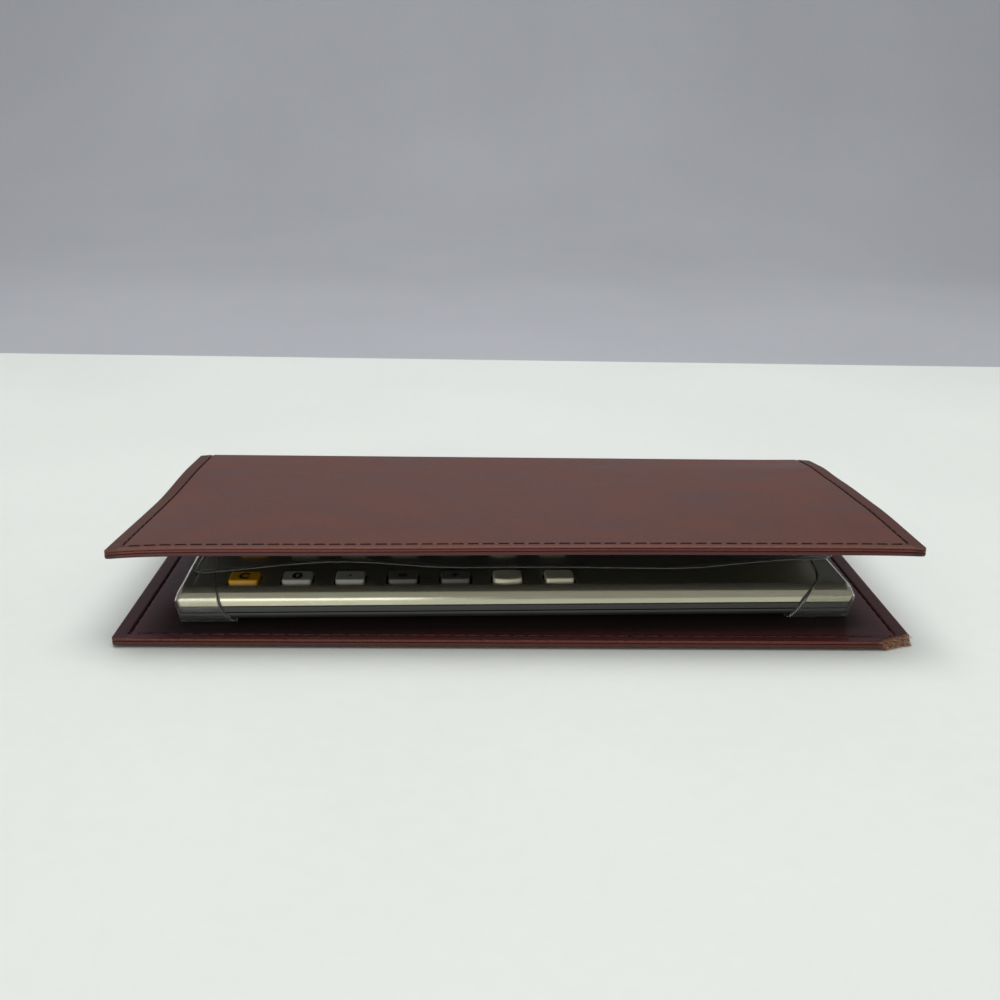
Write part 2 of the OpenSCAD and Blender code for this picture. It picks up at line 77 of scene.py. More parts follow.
# Studio. A white table before a grey wall, under a broad soft lamp, a weak low one and a pale room.
# The wall starts on the table's rear edge, and sweeps up far behind it, so that no view is shut off.
# Lamps and room together bring a colour on the table to about its written value.
table_z = -0.05
table_half = 2500
table_front = -1500
edge_left = (-220.2, 244.9)
edge_right = (230.7, 240.4)
sweep_from = 300
sweep_r = 500
wall_top = 1300


def linear(colour):
    """An sRGB hex colour as linear RGBA."""
    parts = [int(colour[i : i + 2], 16) / 255 for i in (1, 3, 5)]
    return [c / 12.92 if c <= 0.04045 else ((c + 0.055) / 1.055) ** 2.4 for c in parts] + [1]


def add_node(tree, kind, inputs=None, out=0, **settings):
    """Adds a shader node and returns one of its outputs; inputs are constants, or outputs to link from."""
    made = tree.nodes.new("ShaderNode" + kind)
    for key, value in settings.items():
        setattr(made, key, value)
    for key, value in (inputs or {}).items():
        if isinstance(value, bpy.types.NodeSocket):
            tree.links.new(value, made.inputs[key])
        else:
            made.inputs[key].default_value = value
    return made.outputs[out] if made.outputs else None


def new_material(name):
    """A material without nodes yet, and its node tree."""
    made = bpy.data.materials.new(name)
    made.use_nodes = True
    made.node_tree.nodes.clear()
    return made, made.node_tree


def mottled(name, light, dark, blotch, rough, grain, depth, stretch=(1, 1, 1), **more):
    """Two shades in blotches, under a grain of some depth; sizes are in mm, and more are shader inputs."""
    made, tree = new_material(name)
    where = add_node(tree, "TexCoord", out="Object")
    where = add_node(tree, "Mapping", {"Vector": where, "Scale": [1000 * k for k in stretch]})
    broad = add_node(tree, "TexNoise", {"Vector": where, "Scale": 1 / blotch, "Detail": 3}, out="Fac")
    fine = add_node(tree, "TexNoise", {"Vector": where, "Scale": 1 / grain, "Detail": 2}, out="Fac")
    both = add_node(tree, "Mix", {0: 0.35, 2: broad, 3: fine}, data_type="FLOAT")
    shade = add_node(tree, "MapRange", {0: both, 1: 0.35, 2: 0.65})
    colours = {6: linear(dark), 7: linear(light)}
    mixed = add_node(tree, "Mix", {0: shade, **colours}, data_type="RGBA", out=2)
    limits = {1: 0.3, 2: 0.7, 3: rough - 0.06, 4: rough + 0.06}
    dull = add_node(tree, "MapRange", {0: both, **limits})
    bump = add_node(tree, "Bump", {"Strength": 1, "Distance": depth / 1000, "Height": fine})
    inputs = {"Base Color": mixed, "Roughness": dull, "Normal": bump, **more}
    shader = add_node(tree, "BsdfPrincipled", inputs)
    add_node(tree, "OutputMaterial", {"Surface": shader})
    return made


def mesh_object(name, points, faces, material, smooth=True):
    """An object with that mesh, whose points are in mm, with its faces turned outwards."""
    mesh = bpy.data.meshes.new(name)
    mesh.from_pydata([[c / 1000 for c in p] for p in points], [], faces)
    work = bmesh.new()
    work.from_mesh(mesh)
    bmesh.ops.recalc_face_normals(work, faces=work.faces)
    work.to_mesh(mesh)
    work.free()
    mesh.polygons.foreach_set("use_smooth", [smooth] * len(mesh.polygons))
    mesh.materials.append(material)
    return linked(name, mesh)


# Satin paint takes a soft contact shadow and no mirror image; the matt wall fades evenly with the light.
table_paint = mottled("table_white_satin_paint", "#edf1ed", "#eaeeea", 90, 0.5, 4, 0.002)
wall_paint = mottled("wall_grey_matt_paint", "#b5b7be", "#afb1b8", 160, 0.8, 3, 0.01)
edge_slope = (edge_right[1] - edge_left[1]) / (edge_right[0] - edge_left[0])
edge_y = [edge_left[1] + (x - edge_left[0]) * edge_slope for x in (-table_half, table_half)]
corners = [(-table_half, table_front, table_z), (table_half, table_front, table_z)]
corners += [(table_half, edge_y[1], table_z), (-table_half, edge_y[0], table_z)]
table_top = mesh_object("table_top", corners, [(0, 1, 2, 3)], table_paint)
sweep = [(0, table_z), (sweep_from, table_z)]
for angle in np.radians(range(10, 91, 10)):
    sweep.append((sweep_from + sweep_r * math.sin(angle), sweep_r - sweep_r * math.cos(angle)))
sweep.append((sweep_from + sweep_r, wall_top))
sides = ((-table_half, edge_y[0]), (table_half, edge_y[1]))
points = [(x, y0 + dy, z) for dy, z in sweep for x, y0 in sides]
faces = [(2 * i, 2 * i + 1, 2 * i + 3, 2 * i + 2) for i in range(len(sweep) - 1)]
wall = mesh_object("grey_wall", points, faces, wall_paint)

room = bpy.data.worlds.new("pale_room")
room.use_nodes = True
room.node_tree.nodes["Background"].inputs["Color"].default_value = linear("#fbfcf8")
room.node_tree.nodes["Background"].inputs["Strength"].default_value = 0.36
scene.world = room
for name, at, size, power in (
    ("soft_lamp_above", (0.05, 0.1, 0.95), (1.0, 0.6), 7.3),
    ("soft_lamp_in_front", (-0.45, -1.0, 0.16), (0.9, 0.3), 1.6),
):
    lamp = bpy.data.lights.new(name, "AREA")
    lamp.shape = "RECTANGLE"
    lamp.size, lamp.size_y = size
    lamp.energy = power
    lamp_object = linked(name, lamp)
    lamp_object.location = at
    lamp_object.rotation_euler = (Vector((0, 0, 0.01)) - Vector(at)).to_track_quat("-Z", "Y").to_euler()

# Outer leather. One piece of smooth, waxed oxblood calf covers both leaves and runs round the spine.
# It is cut flat, 0.6 mm thick, thicker where its edges are pressed and burnished, and bends at two folds.
# It is drawn in two halves that meet in the middle of the spine, so that each half bends at one fold.
leaf_half = 82.75
leaf_front = -42.5
leaf_half_t = 1.0
fold_r = 2.0
spine_back = 42.5
spine_middle = 7.85
tilt = math.radians(4.75)
cover_axis = (41.7, 14.7)
cover_reach = 84.2
cover_corner_r = 1.8
skin_worn = (6, 3)
pitch_stitch = 3.1
stitch_front = 2.4
stitch_side = 3.2
groove_depth = 0.26
# Nearly black painted shade, mixed into the leathers in the stitch grooves, along cut edges and before the
# calculator.
shade_black = "#120706"
raw_tan = "#8a5f42"


def leather(name, light, dark, rim, rough, grain):
    """Calf in flat coordinates, so that its grain follows the folds; wear bares its rim, then raw tan, and
    painted shade darkens it.
    """
    made, tree = new_material(name)
    flat = add_node(tree, "Attribute", attribute_name="flat", out="Vector")
    painted_shade = add_node(tree, "Attribute", attribute_name="painted_shade", out="Fac")
    wear = add_node(tree, "Attribute", attribute_name="wear", out="Fac")
    where = add_node(tree, "Mapping", {"Vector": flat, "Scale": (1000, 1000, 1000)})
    drawn = add_node(tree, "Mapping", {"Vector": flat, "Scale": (600, 1000, 1000)})
    # Calf pores are about 0.15 mm apart; they are drawn at 0.4 mm, since finer ones vanish at this size.
    pores = add_node(tree, "TexVoronoi", {"Vector": where, "Scale": 2.5}, out="Distance")
    creases = add_node(tree, "TexNoise", {"Vector": drawn, "Scale": 1.1, "Detail": 5}, out="Fac")
    patches = add_node(tree, "TexNoise", {"Vector": drawn, "Scale": 0.09, "Detail": 6}, out="Fac")
    rubbed_and_lit = add_node(tree, "TexNoise", {"Vector": where, "Scale": 2.2, "Detail": 3}, out="Fac")
    height = add_node(tree, "Mix", {0: 0.6, 2: pores, 3: creases}, data_type="FLOAT")
    bump = add_node(tree, "Bump", {"Strength": 1, "Distance": grain / 1000, "Height": height})
    tone = add_node(tree, "Mix", {0: 0.45, 2: patches, 3: creases}, data_type="FLOAT")
    tone = add_node(tree, "MapRange", {0: tone, 1: 0.36, 2: 0.64})
    worn = add_node(tree, "Math", {0: wear, 1: rubbed_and_lit}, operation="MULTIPLY")
    edged = add_node(tree, "MapRange", {0: worn, 1: 0.03, 2: 0.3})
    torn = add_node(tree, "MapRange", {0: worn, 1: 0.4, 2: 0.75})
    mixed = linear(dark)
    # The attribute mixes in the nearly black painted shade.
    for share, colour in ((tone, light), (edged, rim), (painted_shade, shade_black), (torn, raw_tan)):
        mixed = add_node(tree, "Mix", {0: share, 6: mixed, 7: linear(colour)}, data_type="RGBA", out=2)
    dull = add_node(tree, "MapRange", {0: tone, 3: rough - 0.05, 4: rough + 0.07})
    for share in (torn, painted_shade):
        dull = add_node(tree, "Math", {0: share, 1: 0.4, 2: dull}, operation="MULTIPLY_ADD")
    inputs = {"Base Color": mixed, "Roughness": dull, "Normal": bump, "IOR": 1.45}
    shader = add_node(tree, "BsdfPrincipled", inputs)
    add_node(tree, "OutputMaterial", {"Surface": shader})
    return made


# Wax gives the outer side a soft sheen; the burnished cut rims are a redder brown.
outer_leather = leather("outer_leather_waxed_oxblood_calf", "#62321f", "#4c2721", "#7a4230", 0.4, 0.05)


def bent_path(start, heading, side, turn, end):
    """Follows the outer face of a leaf from its fore edge round the fold to the middle of the spine.

    Returns its place function, from x, the distance s along the path and the height h over the face,
    and the values of s at the start of the fold, at its end and in the middle of the spine."""
    ahead = np.array([math.cos(heading), math.sin(heading)])
    out = side * np.array([-math.sin(heading), math.cos(heading)])
    run = (spine_back - fold_r - start[0] + fold_r * out[0]) / ahead[0]
    centre = np.array(start) + run * ahead - fold_r * out
    tail = abs(end - centre[1])

    def place(x, s, h):
        angle = heading - side * np.clip((s - run) / fold_r, 0, turn)
        normal = side * np.stack([-np.sin(angle), np.cos(angle)])
        along = np.stack([np.cos(angle), np.sin(angle)])
        before = np.minimum(s - run, 0)
        after = np.maximum(s - run - fold_r * turn, 0)
        yz = centre[:, None, None] + (fold_r + h) * normal + (before + after) * along
        return np.stack([x, yz[0], yz[1]], axis=-1)

    return place, run, run + fold_r * turn, run + fold_r * turn + tail


cover_start = (
    cover_axis[0] - cover_reach * math.cos(tilt) + leaf_half_t * math.sin(tilt),
    cover_axis[1] + cover_reach * math.sin(tilt) + leaf_half_t * math.cos(tilt),
)
flat_cover, cover_run, cover_turned, cover_end = bent_path(
    cover_start, -tilt, 1, math.pi / 2 - tilt, spine_middle
)
base_place, base_run, base_turned, base_end = bent_path((leaf_front, 0), 0, -1, math.pi / 2, spine_middle)


def smooth_step(k):
    """A share from 0 to 1 that starts and ends softly."""
    k = np.clip(k, 0, 1)
    return k * k * (3 - 2 * k)


def eased(s, table):
    """A smooth course through the values of a table of places along the leaf."""
    made = np.full_like(s, table[0][1], dtype=float)
    for (s0, v0), (s1, v1) in zip(table[:-1], table[1:]):
        made += (v1 - v0) * smooth_step((s - s0) / (s1 - s0))
    return made


def cover_place(x, s, h):
    """The cover has warped with use: its right side stands higher and bows up, and its left edge droops."""
    ahead = np.clip(1 - s / cover_run, 0, 1)
    across = x / leaf_half
    rightward = np.clip(across, 0, 1)
    twist = (0.75 * across - 0.17) * ahead
    bow = eased(s, [(0, 0), (30, 1.0), (48, 1.15), (66, 0.95), (84, 0)]) * rightward**2
    left_droop = eased(s, [(0, -0.85), (40, -1.25), (70, 0)]) * np.exp(-(leaf_half + x) / 8)
    corner_droop = -0.45 * np.exp(-(leaf_half - x) / 7 - s / 9)
    ripple = 0.08 * np.sin(x / 17.0 + 0.6) * ahead**3
    rear_lift = eased(s, [(55, 0), (80, 0.4), (88, 0)]) * rightward**10
    spread = np.clip((s - 20) / 60, 0, 1) * np.clip((cover_end - s - 1) / (cover_end - cover_run), 0, 1)
    placed = flat_cover(x, s, h)
    placed[..., 0] += 0.45 * rightward**3 * spread
    placed[..., 2] += twist + bow + left_droop + corner_droop + ripple + rear_lift
    return placed


def stations(low, high, close_low, close_high, step):
    """Places across a sheet, close together along the edges that are rounded and stitched."""
    near = [0, 0.03, 0.08, 0.16, 0.28, 0.5, 0.8, 1.2, 1.6, 1.9, 2.1, 2.25, 2.4, 2.55, 2.7, 2.9]
    near += [3.05, 3.2, 3.35, 3.5, 3.8, 4.3, 5]
    first = [low + d for d in near] if close_low else [low]
    last = [high - d for d in reversed(near)] if close_high else [high]
    inner = np.arange(math.ceil((first[-1] + 0.4) / step) * step, last[0] - 0.3, step)
    return np.array(first + list(inner) + last)


def stations_to_spine(run, turned, end):
    """Places along a sheet that goes round the fold: as a leaf's, then close together in the bend."""
    leaf = stations(0, run - 6, True, False, pitch_stitch / 2)
    return np.concatenate([leaf, np.arange(run - 4.5, turned + 2, 0.35), np.linspace(turned + 2.2, end, 6)])


def stitch_dip(side, front, x, s):
    """How far the thread pulls the leather in: a groove along the stitch line, deeper at each hole."""
    across = np.exp(-(((front - stitch_front) / 0.28) ** 2)) * (side > stitch_side - 0.4)
    along = np.exp(-(((side - stitch_side) / 0.25) ** 2)) * (front > stitch_front - 0.4)
    holes_x = 0.9 + 0.1 * np.cos(2 * math.pi * x / pitch_stitch)
    holes_s = 0.9 + 0.1 * np.cos(2 * math.pi * s / pitch_stitch)
    return groove_depth * np.maximum(across * holes_x, along * holes_s)


def round_corner(side, front, r):
    """Moves points near a square corner, given by their distances from its two edges, into a round one."""
    a = np.clip(1 - side / r, 0, 1)
    b = np.clip(1 - front / r, 0, 1)
    in_side = np.where(a > 0, r * (1 - a * np.sqrt(1 - b**2 / 2)), side)
    in_front = np.where(b > 0, r * (1 - b * np.sqrt(1 - a**2 / 2)), front)
    return in_side, in_front


def shade_mask(x, s, side, front, edge, edge_shade, case_shade):
    """Painted shade from 0 to 1: in the stitch groove and, as asked, along the cut edges; the side rims
    outside the stitch line are drawn darker too.

    Painted shade also lies before the calculator, whose front edge runs at a slope of 0.0314."""
    made = np.clip(stitch_dip(side, front, x, s) * 2.4, 0, 1)
    made = np.maximum(made, 0.3 * np.clip((stitch_side - side) / 0.4, 0, 1))
    made = np.maximum(made, edge_shade * np.exp(-edge / 0.6))
    # Painted shade on the lining before the calculator's front edge.
    near = np.clip((s - 1.6 - 0.0314 * x) / 5, 0, 1) * np.clip((80 - np.abs(x)) / 12, 0, 1)
    near = near * np.clip((26 - s) / 12, 0, 1)
    return np.maximum(made, case_shade * smooth_step(near))


def grid_quads(m, n):
    """Faces of a grid of m rows of n points."""
    index = np.arange(m * n).reshape(m, n)
    corners = [index[:-1, :-1], index[:-1, 1:], index[1:, 1:], index[1:, :-1]]
    return np.stack(corners, axis=-1).reshape(-1, 4)


def leather_sheet(
    name,
    place,
    xs,
    ss,
    outer,
    inner,
    material,
    edge_r=0.2,
    corner_r=1.0,
    worn=None,
    mouth=None,
    edge_shade=0,
    case_shade=0,
    pressed=(0, 0),
):
    """A closed sheet with rounded cut edges; outer and inner give its faces' heights from edge distances.

    worn is the size of a corner rubbed away, and mouth the s of an edge that is open.
    pressed says how far burnishing has shut the outer and the inner edge, most of all at the left."""
    x, s = np.meshgrid(xs, ss)
    side = xs[-1] - np.abs(x)
    front = s - ss[0]
    edge = np.minimum(side, front)
    if mouth is not None:
        edge = np.minimum(edge, mouth - s)
    top, low = outer(side, front, x, s), inner(side, front, x, s)
    r = np.minimum(edge_r, 0.45 * (top - low))
    drop = r - np.sqrt(np.maximum(r**2 - np.maximum(r - edge, 0) ** 2, 0))
    shut = np.clip(0.4 - x / 70, 0, 1)
    top, low = top - drop * (1 - pressed[0] * shut), low + drop * (1 - pressed[1] * shut)
    rub = 0.35 * np.exp(-edge / 0.35) + 0.14 * np.exp(-((front / 1.9) ** 2))
    in_side, in_front = round_corner(side, front, corner_r)
    if worn:
        in_side, in_front = np.where(x > 0, side, in_side), np.where(x > 0, front, in_front)
    px = np.sign(x) * (xs[-1] - in_side)
    ps = ss[0] + in_front
    if worn:
        # The front edge is drawn back over its last 16.5 mm, along a ragged line, and bared there.
        ragged = 0.35 * np.sin(front * 9.1) + 0.25 * np.sin(front * 23 + 1)
        lost = np.maximum(worn[0] * (1 - front / worn[1]) + ragged * (front < worn[1]), 0)
        px = px - lost * smooth_step((px - 66) / 16.5)
        gone = np.clip((px - 71) / 6, 0, 1) * np.clip(1.2 - front / worn[1], 0, 1)
        rub = np.maximum(rub, gone * np.exp(-side / 0.9) * 2.4)
    m, n = x.shape
    quads = grid_quads(m, n)
    index = np.arange(m * n).reshape(m, n)
    rim = np.concatenate([index[0, :], index[1:, -1], index[-1, -2::-1], index[-2:0:-1, 0]])
    after = np.roll(rim, -1)
    walls = np.stack([rim, rim + m * n, after + m * n, after], axis=-1)
    faces = np.concatenate([quads, quads[:, ::-1] + m * n, walls])
    points = np.concatenate([place(px, ps, h).reshape(-1, 3) for h in (top, low)])
    made = mesh_object(name, points.tolist(), faces.tolist(), material)
    # The walls in the middle of the spine are flat, so that no shaded seam shows where two halves meet.
    spine_walls = 2 * len(quads) + m + n - 2
    for face in made.data.polygons[spine_walls : spine_walls + n - 1]:
        face.use_smooth = False
    grain_s = cover_end + base_end - ps if place is base_place else ps
    flat = np.concatenate([np.stack([px, grain_s, h], axis=-1).reshape(-1, 3) for h in (top, low)])
    unfolded = made.data.attributes.new("flat", "FLOAT_VECTOR", "POINT")
    unfolded.data.foreach_set("vector", flat.ravel() / 1000)
    for label, values in (("wear", rub), ("painted_shade", shade_mask(x, s, side, front, edge, edge_shade, case_shade))):
        twice = np.tile(values.ravel(), 2)
        made.data.attributes.new(label, "FLOAT", "POINT").data.foreach_set("value", twice)
    return made


def toward_edge(side, front, at_edge, within):
    """A height that is at_edge by the cut edges and within further in, behind the edge of the board."""
    k = np.clip((np.minimum(side, front) - 0.85) / 0.3, 0, 1)
    return at_edge + (within - at_edge) * k


def rim_fall(side):
    """The sewn side rims are pressed down towards their cut edge."""
    return 0.28 * np.clip(1 - side / stitch_side, 0, 1)


leaf_xs = stations(-leaf_half, leaf_half, True, True, pitch_stitch / 2)
cover_ss = stations_to_spine(cover_run, cover_turned, cover_end)
base_ss = stations_to_spine(base_run, base_turned, base_end)
cover_skin = leather_sheet(
    "cover_skin",
    cover_place,
    leaf_xs,
    cover_ss,
    lambda side, front, x, s: -stitch_dip(side, front, x, s) - rim_fall(side),
    lambda side, front, x, s: toward_edge(side, front, -0.4, -0.6) - 0.6 * rim_fall(side),
    outer_leather,
    corner_r=cover_corner_r,
    pressed=(0, 0.75),
)
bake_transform(cover_skin)
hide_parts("cover_skin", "spine")
base_skin = leather_sheet(
    "base_skin",
    base_place,
    leaf_xs,
    base_ss,
    lambda side, front, x, s: -stitch_dip(side, front, x, s) - 0.4 * np.exp(-np.minimum(side, front) / 2.0),
    lambda side, front, x, s: toward_edge(side, front, -1.36, -0.6),
    outer_leather,
    edge_r=0.3,
    worn=skin_worn,
    # Painted shade along the lower leaf's cut edges.
    edge_shade=0.5,
)
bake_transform(base_skin)
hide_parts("base_skin")

# Inner leather. A thinner, plum-brown calf lines both leaves and passes behind the spine.
# On the cover a second panel is sewn over it along three edges, open towards the fold, as a check pocket.
# Painted shade darkens the lower lining before the calculator.
pocket_mouth = 66
lining_worn = (7, 3.5)
# Glazing leaves the lining smooth, dark and wet-looking.
inner_leather = leather("inner_leather_glazed_plum_calf", "#521119", "#3e0c13", "#70332a", 0.29, 0.02)
# The pocket's panel is drawn near-black, darker than the lining, as painted shade: the metal face mirrors
# it as a plain near-black.
pocket_shade_leather = leather("pocket_calf_painted_near_black", "#373033", "#2c2628", "#58211c", 0.4, 0.03)


def past_fold(s, run, on_leaf, on_spine):
    """A height that changes from its value on the leaf to that on the spine, just before the fold."""
    k = np.clip((s - run + 6) / 4.5, 0, 1)
    return on_leaf + (on_spine - on_leaf) * k


cover_lining = leather_sheet(
    "cover_lining",
    cover_place,
    leaf_xs,
    cover_ss,
    lambda side, front, x, s: past_fold(
        s, cover_run, toward_edge(side, front, -0.45, -1.02) - 0.6 * rim_fall(side), -0.62
    ),
    lambda side, front, x, s: past_fold(
        s, cover_run, toward_edge(side, front, -0.93, -1.4) - 0.4 * rim_fall(side), -1.2
    ),
    inner_leather,
    corner_r=cover_corner_r,
    pressed=(0.75, 0.75),
)
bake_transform(cover_lining)
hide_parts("cover_lining")
base_lining = leather_sheet(
    "base_lining",
    base_place,
    leaf_xs,
    base_ss,
    lambda side, front, x, s: past_fold(s, base_run, toward_edge(side, front, -1.42, -1.02), -0.62),
    lambda side, front, x, s: past_fold(s, base_run, -2.0 + stitch_dip(side, front, x, s), -1.2),
    inner_leather,
    worn=lining_worn,
    # Painted shade on the lining before the calculator.
    case_shade=0.92,
)
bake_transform(base_lining)
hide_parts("base_lining")
check_pocket = leather_sheet(
    "check_pocket",
    cover_place,
    leaf_xs,
    stations(0, pocket_mouth, True, True, pitch_stitch / 2),
    lambda side, front, x, s: toward_edge(side, front, -0.98, -1.42) - 0.4 * rim_fall(side),
    lambda side, front, x, s: toward_edge(side, front, -1.84, -2.0) + stitch_dip(side, front, x, s),
    pocket_shade_leather,
    edge_r=0.3,
    corner_r=cover_corner_r,
    mouth=pocket_mouth,
    pressed=(0.75, 0),
)
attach(check_pocket, "cover")
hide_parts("check_pocket")

# Boards. A sheet of pressed greyboard stiffens each leaf between its leathers; none of it shows.
# The cover's has taken the cover's warp, and the lower one lies flat, as the CAD has it.


def dress(name, material):
    """Gives a node that keeps its CAD shape its material."""
    nodes[name].data.materials.clear()
    nodes[name].data.materials.append(material)


# Pressed waste paper is a dull, flecked grey-brown.
greyboard = mottled("board_pressed_greyboard", "#8f8069", "#7b6d58", 3, 0.85, 0.4, 0.03)
cover_board = leather_sheet(
    "cover_board",
    cover_place,
    np.linspace(-81.3, 81.3, 60),
    np.linspace(1.2, 81.9, 40),
    lambda side, front, x, s: -0.62 + 0 * s,
    lambda side, front, x, s: -1.0 + 0 * s,
    greyboard,
    edge_r=0.02,
)
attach(cover_board, "cover")
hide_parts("cover_board")
dress("base_board", greyboard)

# Stitching. A lockstitch in dark waxed two-ply thread holds the leathers along their three free edges.
# Each stitch lies in the groove that it has pulled and dives into a hole at both ends.
thread_r = 0.2
stitch_reach = 0.48
hole_depth = 0.28
# The plies of waxed thread shade each other, so little sheen is left on them.
little_sheen = {"Specular IOR Level": 0.15}
waxed_thread = mottled("thread_waxed_two_ply", "#2c0f11", "#190809", 0.8, 0.75, 0.12, 0.03, **little_sheen)
# Along the front of the lower leaf the thread is drawn paler and pinker, as a painted glint.
glint_painted_thread = mottled("thread_painted_glint_two_ply", "#6a3c40", "#401d20", 0.8, 0.75, 0.12, 0.03)


def loft(rings):
    """Points and faces of a skin over closed rings of equal length, with both ends closed."""
    count = len(rings[0])
    points = [p for ring in rings for p in ring]
    faces = []
    for i in range(len(rings) - 1):
        for j in range(count):
            k = (j + 1) % count
            faces.append((i * count + j, i * count + k, (i + 1) * count + k, (i + 1) * count + j))
    faces.append(tuple(range(count - 1, -1, -1)))
    faces.append(tuple(range(len(points) - count, len(points))))
    return points, faces


def gather(parts):
    """Several sets of points and faces as one."""
    points, faces = [], []
    for more, quads in parts:
        faces += [tuple(i + len(points) for i in q) for q in quads]
        points += more
    return points, faces


def one(place, x, s, h):
    """One point of a sheet's place function."""
    return Vector(place(np.array([[x]]), np.array([[s]]), np.array([[h]]))[0, 0])


def stitch_row(place, start, end, height, out, loose):
    """Stitches from start to end, both x and s, at a height; out is 1 on the outer face and -1 inside."""
    parts = []
    length = math.dist(start, end)
    step_x, step_s = (end[0] - start[0]) / length, (end[1] - start[1]) / length
    count = round(length / pitch_stitch)
    for k in range(count):
        rings = []
        sway = loose.uniform(-0.06, 0.06)
        size = loose.uniform(0.92, 1.06)
        for step in range(7):
            t = -1 + step / 3
            along = (k + 0.5 + stitch_reach * size * t) / count
            x = start[0] + (end[0] - start[0]) * along
            s = start[1] + (end[1] - start[1]) * along
            if start[0] == end[0]:
                x += sway * t
            else:
                s += sway * t
            dive = 0.03 - hole_depth * abs(t) ** 7
            middle = one(place, x, s, height + out * dive)
            ahead = (one(place, x + step_x * 0.1, s + step_s * 0.1, 0) - one(place, x, s, 0)).normalized()
            normal = (one(place, x, s, 0.1) - one(place, x, s, 0)).normalized()
            across = ahead.cross(normal)
            ring = []
            for turn in range(10):
                angle = 2 * math.pi * turn / 10
                ply = thread_r * (1 + 0.14 * math.cos(2 * angle + 4 * t)) * (1 - 0.4 * abs(t) ** 7)
                away = across * ply * math.cos(angle) + normal * ply * 0.8 * math.sin(angle)
                ring.append(tuple(middle + away))
            rings.append(ring)
        parts.append(loft(rings))
    return parts


loose = random.Random(7)
side_x = leaf_half - stitch_side
side_from = stitch_front + 0.9
side_to = side_from + pitch_stitch * 25
front_to = side_x - 1
rows = [((-side_x, side_from), (-side_x, side_to)), ((-front_to, stitch_front), (front_to, stitch_front))]
rows += [((side_x, side_from), (side_x, side_to))]
worn_sides = [rows[0], ((side_x, side_from + 2.2), (side_x, side_to))]
worn_front = [((-front_to, stitch_front), (front_to - 5.2, stitch_front))]
for name, body, place, top, lines, thread in (
    ("cover_stitching", "cover", cover_place, -0.1, rows, waxed_thread),
    ("base_stitching", "base", base_place, -0.15, worn_sides, waxed_thread),
    ("base_front_stitching", "base", base_place, -0.15, worn_front, glint_painted_thread),
):
    parts = []
    for height, out in ((top, 1), (-1.9, -1)):
        for start, end in lines:
            parts += stitch_row(place, start, end, height, out, loose)
    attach(mesh_object(name, *gather(parts), thread), body)

# Worn corner. The right front corner of the lower leaf has been rubbed through to the fibres of the hide.
# The lining is worn further back than the skin; clumps and loose fibres fringe the cut.
# Torn hide is dull and dark where it is dirty, and single fibres are pale and catch the light.
torn_hide = mottled("hide_torn_brown", "#8d6a54", "#3a2118", 0.7, 0.9, 0.15, 0.03)
loose_fibre = mottled("hide_loose_tan_fibre", "#d9bca5", "#9f775d", 0.6, 0.9, 0.1, 0.01)
tufts = {"worn_corner_clumps": [], "worn_corner_fibres": []}
for k in range(700):
    clump = k % 3 == 0
    along = loose.random() if k % 4 else 1 - 0.2 * loose.random()
    z = loose.uniform(0.15, 2.0)
    back = max(z - 0.9, 0) * 0.55
    root_x = leaf_half - 0.3 - (skin_worn[0] + back) * (1 - along)
    root = Vector((root_x, leaf_front + 0.1 + skin_worn[1] * along + back, z))
    lean_x = 0.5 + loose.uniform(-0.7, 0.7)
    lean = Vector((lean_x, -0.9 + loose.uniform(-0.5, 0.5), loose.uniform(-0.8, 0.6))).normalized()
    reach = (0.3 + 0.9 * loose.random() ** 2) * (0.55 + 0.7 * along**2)
    thick = loose.uniform(0.05, 0.11)
    if clump:
        thick = loose.uniform(0.15, 0.32)
        reach *= 0.6
    curl = Vector((loose.uniform(-0.6, 0.6), loose.uniform(-0.4, 0.4), loose.uniform(-0.8, 0.3)))
    rings = []
    for step in range(5):
        t = step / 4
        middle = root + lean * reach * t + curl * reach * t * t
        middle.z = max(middle.z, 0.1)
        size = thick * (1 - 0.85 * t**1.5)
        corners = [(size * math.cos(q), size * 0.3, size * math.sin(q)) for q in (0.3, 1.6, 2.9, 4.5)]
        rings.append([tuple(middle + Vector(c)) for c in corners])
    tufts["worn_corner_clumps" if clump else "worn_corner_fibres"].append(loft(rings))
for (name, parts), material in zip(tufts.items(), (torn_hide, loose_fibre)):
    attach(mesh_object(name, *gather(parts), material), "base")

# Calculator case. Bottom, battery door and frame are injection-moulded in dark grey plastic and screwed up.
# A groove on the parting line separates bottom and frame; all three keep their CAD shape.
# Heights of the painted shade in the parting groove, and of the painted light high on the bottom.
groove_shade_z = 0.00424
groove_shade_half = 0.00013
lit_band_z = (0.0033, 0.0039)
